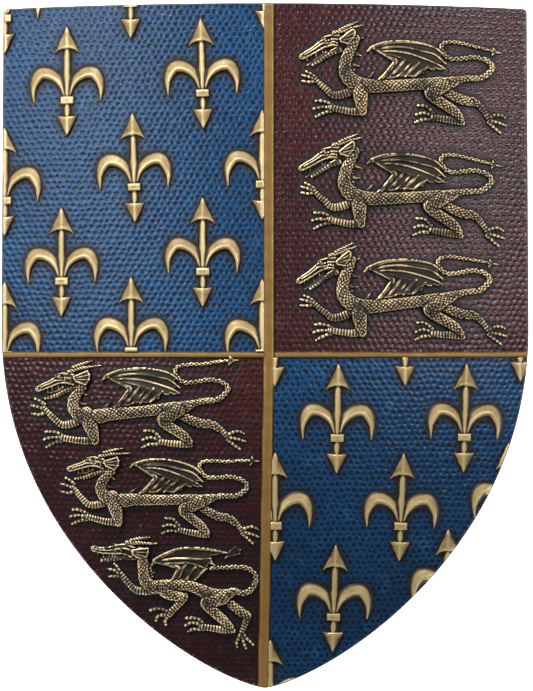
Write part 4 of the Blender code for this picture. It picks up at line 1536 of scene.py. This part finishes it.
@dataclass
class Body:
    """The board's edge and hollow back."""

    columns: int = 48
    rows: int = 90
    rounding: float = 0.0009
    depth_under_fields: float = 0.0009

    def drops(self) -> np.ndarray:
        """Distances below the top edge of the rows."""
        straight = np.linspace(0, BOARD.shoulder, self.rows // 3, endpoint=False)
        turn = np.linspace(0, math.pi / 2, self.rows - len(straight))
        return np.concatenate([straight, BOARD.shoulder + (BOARD.height - BOARD.shoulder) * np.sin(turn)])

    def build(self) -> None:
        """Makes the rim and the back."""
        self.build_rim()
        self.build_back()

    def build_rim(self) -> None:
        """The outer edge: one closed section carried round the outline."""
        loop = BOARD.outline(0.0015)
        outer = BOARD.face(loop[:, 0], loop[:, 1])
        low = np.maximum(0, outer - BOARD.wall)
        rings, rubbed = [], []
        turn = np.linspace(0, math.pi / 2, 5)
        section = [(0.0004, "low", 0.0, 0.3), (0.0, "low", 0.0004, 0.6), (0.0, "high", -self.rounding, 0.8)]
        section += [(self.rounding * (1 - math.cos(a)), "high", -self.rounding * (1 - math.sin(a)), 1.0) for a in turn[1:]]
        section += [(0.0035, "high", -0.0012, 0.0), (0.0035, "low", 0.0004, 0.0)]
        for inset, base, rise, rub in section:
            ring = inset_loop(loop, inset)
            face = BOARD.face(ring[:, 0], ring[:, 1])
            z = (np.maximum(face, outer - 0.001) if base == "high" else low) + rise
            rings.append(np.column_stack([ring, z]))
            rubbed.append(np.full(len(ring), rub))
        count, size = len(rings), len(loop)
        faces = []
        for i in range(count):
            j = (i + 1) % count
            for k in range(size):
                m = (k + 1) % size
                faces.append((i * size + k, i * size + m, j * size + m, j * size + k))
        rim = plain_object("board_edge", np.concatenate(rings), np.array(faces))
        store(rim, "rub", np.concatenate(rubbed))
        self.face_outwards(rim)
        dress(rim, Finish.EDGE)

    def build_back(self) -> None:
        """The hollow back and the ground under the fields, as one closed shell."""
        drops = self.drops()
        share = np.linspace(-1, 1, self.columns + 1)
        half = BOARD.half_width(drops) - 0.0016
        half = np.maximum(half, 0.0004)
        x = half[:, None] * share[None, :]
        y = np.repeat((BOARD.top - np.clip(drops, 0.0016, BOARD.height - 0.004))[:, None], self.columns + 1, axis=1)
        front = BOARD.face(x, y) - self.depth_under_fields
        back = np.maximum(0.00005, BOARD.face(x, y) - BOARD.wall)
        points = np.concatenate([np.stack([x, y, z], axis=-1).reshape(-1, 3) for z in (front, back)])
        rows, columns = x.shape
        index = np.arange(rows * columns).reshape(rows, columns)
        quads = np.stack([index[:-1, :-1], index[1:, :-1], index[1:, 1:], index[:-1, 1:]], axis=-1).reshape(-1, 4)
        under = quads[:, ::-1] + rows * columns
        ring = np.concatenate([index[:, 0], index[-1, 1:], index[-2::-1, -1], index[0, -2:0:-1]])
        after = np.roll(ring, -1)
        sides = np.stack([ring, ring + rows * columns, after + rows * columns, after], axis=1)
        body = plain_object("board_back", points, np.concatenate([quads, under, sides]))
        store(body, "rub", np.zeros(len(points)))
        self.face_outwards(body)
        dress(body, Finish.EDGE)

    @staticmethod
    def face_outwards(obj: bpy.types.Object) -> None:
        """Turns a closed piece's faces outwards."""
        body = bmesh.new()
        body.from_mesh(obj.data)
        bmesh.ops.remove_doubles(body, verts=body.verts, dist=1e-6)
        bmesh.ops.recalc_face_normals(body, faces=body.faces)
        body.to_mesh(obj.data)
        body.free()


# Floor, light and camera


@dataclass
class Studio:
    """A pale floor, soft lights and a camera straight above the shield."""

    camera_height: float = 2.0
    camera_x: float = 0.0010
    camera_y: float = 0.0020
    lens: float = 154.4

    def build(self) -> None:
        """Sets the studio up."""
        self.build_floor()
        self.build_lights()
        self.build_camera()

    def build_floor(self) -> None:
        """A plain pale floor."""
        size = 4.0
        corners = np.array([(-size, -size, 0), (size, -size, 0), (size, size, 0), (-size, size, 0)], float)
        floor = plain_object("floor", corners - [0, 0, 0.0001], np.array([(0, 1, 2, 3)]))
        paint = Nodes("pale_floor")
        white = (0.9, 0.9, 0.9)
        floor.data.materials.append(
            paint.finish(Base_Color=white, Roughness=0.9, Emission_Color=white, Emission_Strength=2.5)
        )

    def light(self, name: str, spot: Stop, size: Point, power: float, colour: Colour = (1, 1, 1)) -> None:
        """A soft rectangular light aimed at the shield.

        Args:
            name: the light's name.
            spot: where it hangs.
            size: its width and height.
            power: in watts.
            colour: its colour.
        """
        data = bpy.data.lights.new(name, "AREA")
        data.shape = "RECTANGLE"
        data.size, data.size_y = size
        data.energy = power
        data.color = colour
        lamp = bpy.data.objects.new(name, data)
        lamp.location = spot
        lamp.rotation_euler = (-Vector(spot)).to_track_quat("-Z", "Y").to_euler()
        bpy.context.scene.collection.objects.link(lamp)

    def build_lights(self) -> None:
        """Lights from above the top edge and from both sides, and a pale sky."""
        self.light("top light", (-0.6, 1.6, 1.5), (0.5, 0.4), 60)
        self.light("left light", (-1.25, 0.45, 1.6), (0.3, 1.2), 20, (0.92, 0.96, 1.0))
        self.light("right light", (1.25, 0.3, 1.6), (0.3, 1.2), 17, (0.96, 0.95, 1.0))
        world = bpy.context.scene.world or bpy.data.worlds.new("sky")
        bpy.context.scene.world = world
        world.use_nodes = True
        sky = world.node_tree.nodes["Background"]
        sky.inputs["Color"].default_value = (1, 1, 1, 1)
        sky.inputs["Strength"].default_value = 0.1

    def build_camera(self) -> None:
        """The camera, looking straight down with the top edge upwards."""
        data = bpy.data.cameras.new("camera")
        data.lens = self.lens
        data.sensor_width = 36
        camera = bpy.data.objects.new("camera", data)
        camera.location = (self.camera_x, self.camera_y, self.camera_height)
        bpy.context.scene.collection.objects.link(camera)
        bpy.context.scene.camera = camera
        bpy.context.scene.view_settings.view_transform = "Standard"


UPPER_FLEURS = (
    (-0.744, 0.029, 0.0), (-0.240, 0.022, 1.5), (-0.496, 0.157, 1.5), (-0.765, 0.293, 0.0),
    (-0.232, 0.280, 0.0), (-0.500, 0.395, 0.0), (-0.985, 0.174, 0.0), (-0.985, 0.401, 0.0),
    (-0.010, 0.154, 0.0), (-0.010, 0.398, 0.0), (-0.502, -0.110, 0.0), (-0.985, -0.094, 0.0),
    (0.000, -0.120, 0.0),
)
LOWER_FLEURS = (
    (0.274, 0.521, -1.0), (0.758, 0.521, -1.5), (0.520, 0.651, -2.0), (0.038, 0.649, 0.0),
    (0.266, 0.785, -1.5), (0.020, 0.926, 0.0), (0.524, 0.394, 0.0), (0.036, 0.395, 0.0),
    (0.965, 0.388, 0.0), (0.921, 0.638, 0.0), (0.692, 0.764, 0.0),
)
UNIT = 0.1334 / 200  # a dragon's unit of drawing
DRAGONS = (
    ("dragon_upper", WALKING, Place(0.505, 0.110, 0.0, UNIT)),
    ("dragon_upper_middle", WALKING, Place(0.501, 0.2735, -0.9, UNIT)),
    ("dragon_upper_low", WALKING, Place(0.498, 0.427, 2.9, UNIT)),
    ("dragon_lower", STALKING, Place(-0.484, 0.584, 2.2, UNIT * 0.99)),
    ("dragon_lower_middle", STALKING, Place(-0.396, 0.7127, -3.3, UNIT * 0.93)),
    ("dragon_lowest", COILED, Place(-0.316, 0.852, 0.0, UNIT)),
)


def main() -> None:
    """Builds the shield, piece by piece."""
    logging.basicConfig(level=logging.INFO, format="%(asctime)s %(name)s: %(message)s")
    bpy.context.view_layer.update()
    Studio().build()
    band = CrossBand()
    shadow = Shadow()
    fleurs = (
        Fleurs("upper_fleurs", UPPER_FLEURS, -1, True, band),
        Fleurs("lower_fleurs", LOWER_FLEURS, 1, False, band),
    )
    for group in fleurs:
        group.build()
        for grid in group.grids:
            shadow.add(grid)
    for name, pose, place in DRAGONS:
        dragon = Dragon(name, pose, place)
        dragon.build()
        shadow.add(dragon.grid)
    shadow.spread()
    band.build()
    for name, finish, slot, side, upper, seed in (
        ("blue_field_upper", Finish.BLUE, "blue_field", -1, True, 3),
        ("red_field_upper", Finish.RED, "red_field", 1, True, 5),
        ("red_field_lower", Finish.RED, "red_field", -1, False, 11),
        ("blue_field_lower", Finish.BLUE, "blue_field", 1, False, 17),
    ):
        HammeredField(name, finish, slot, side, upper, band, shadow, seed).build()
    Body().build()


if __name__ == "__main__":
    main()
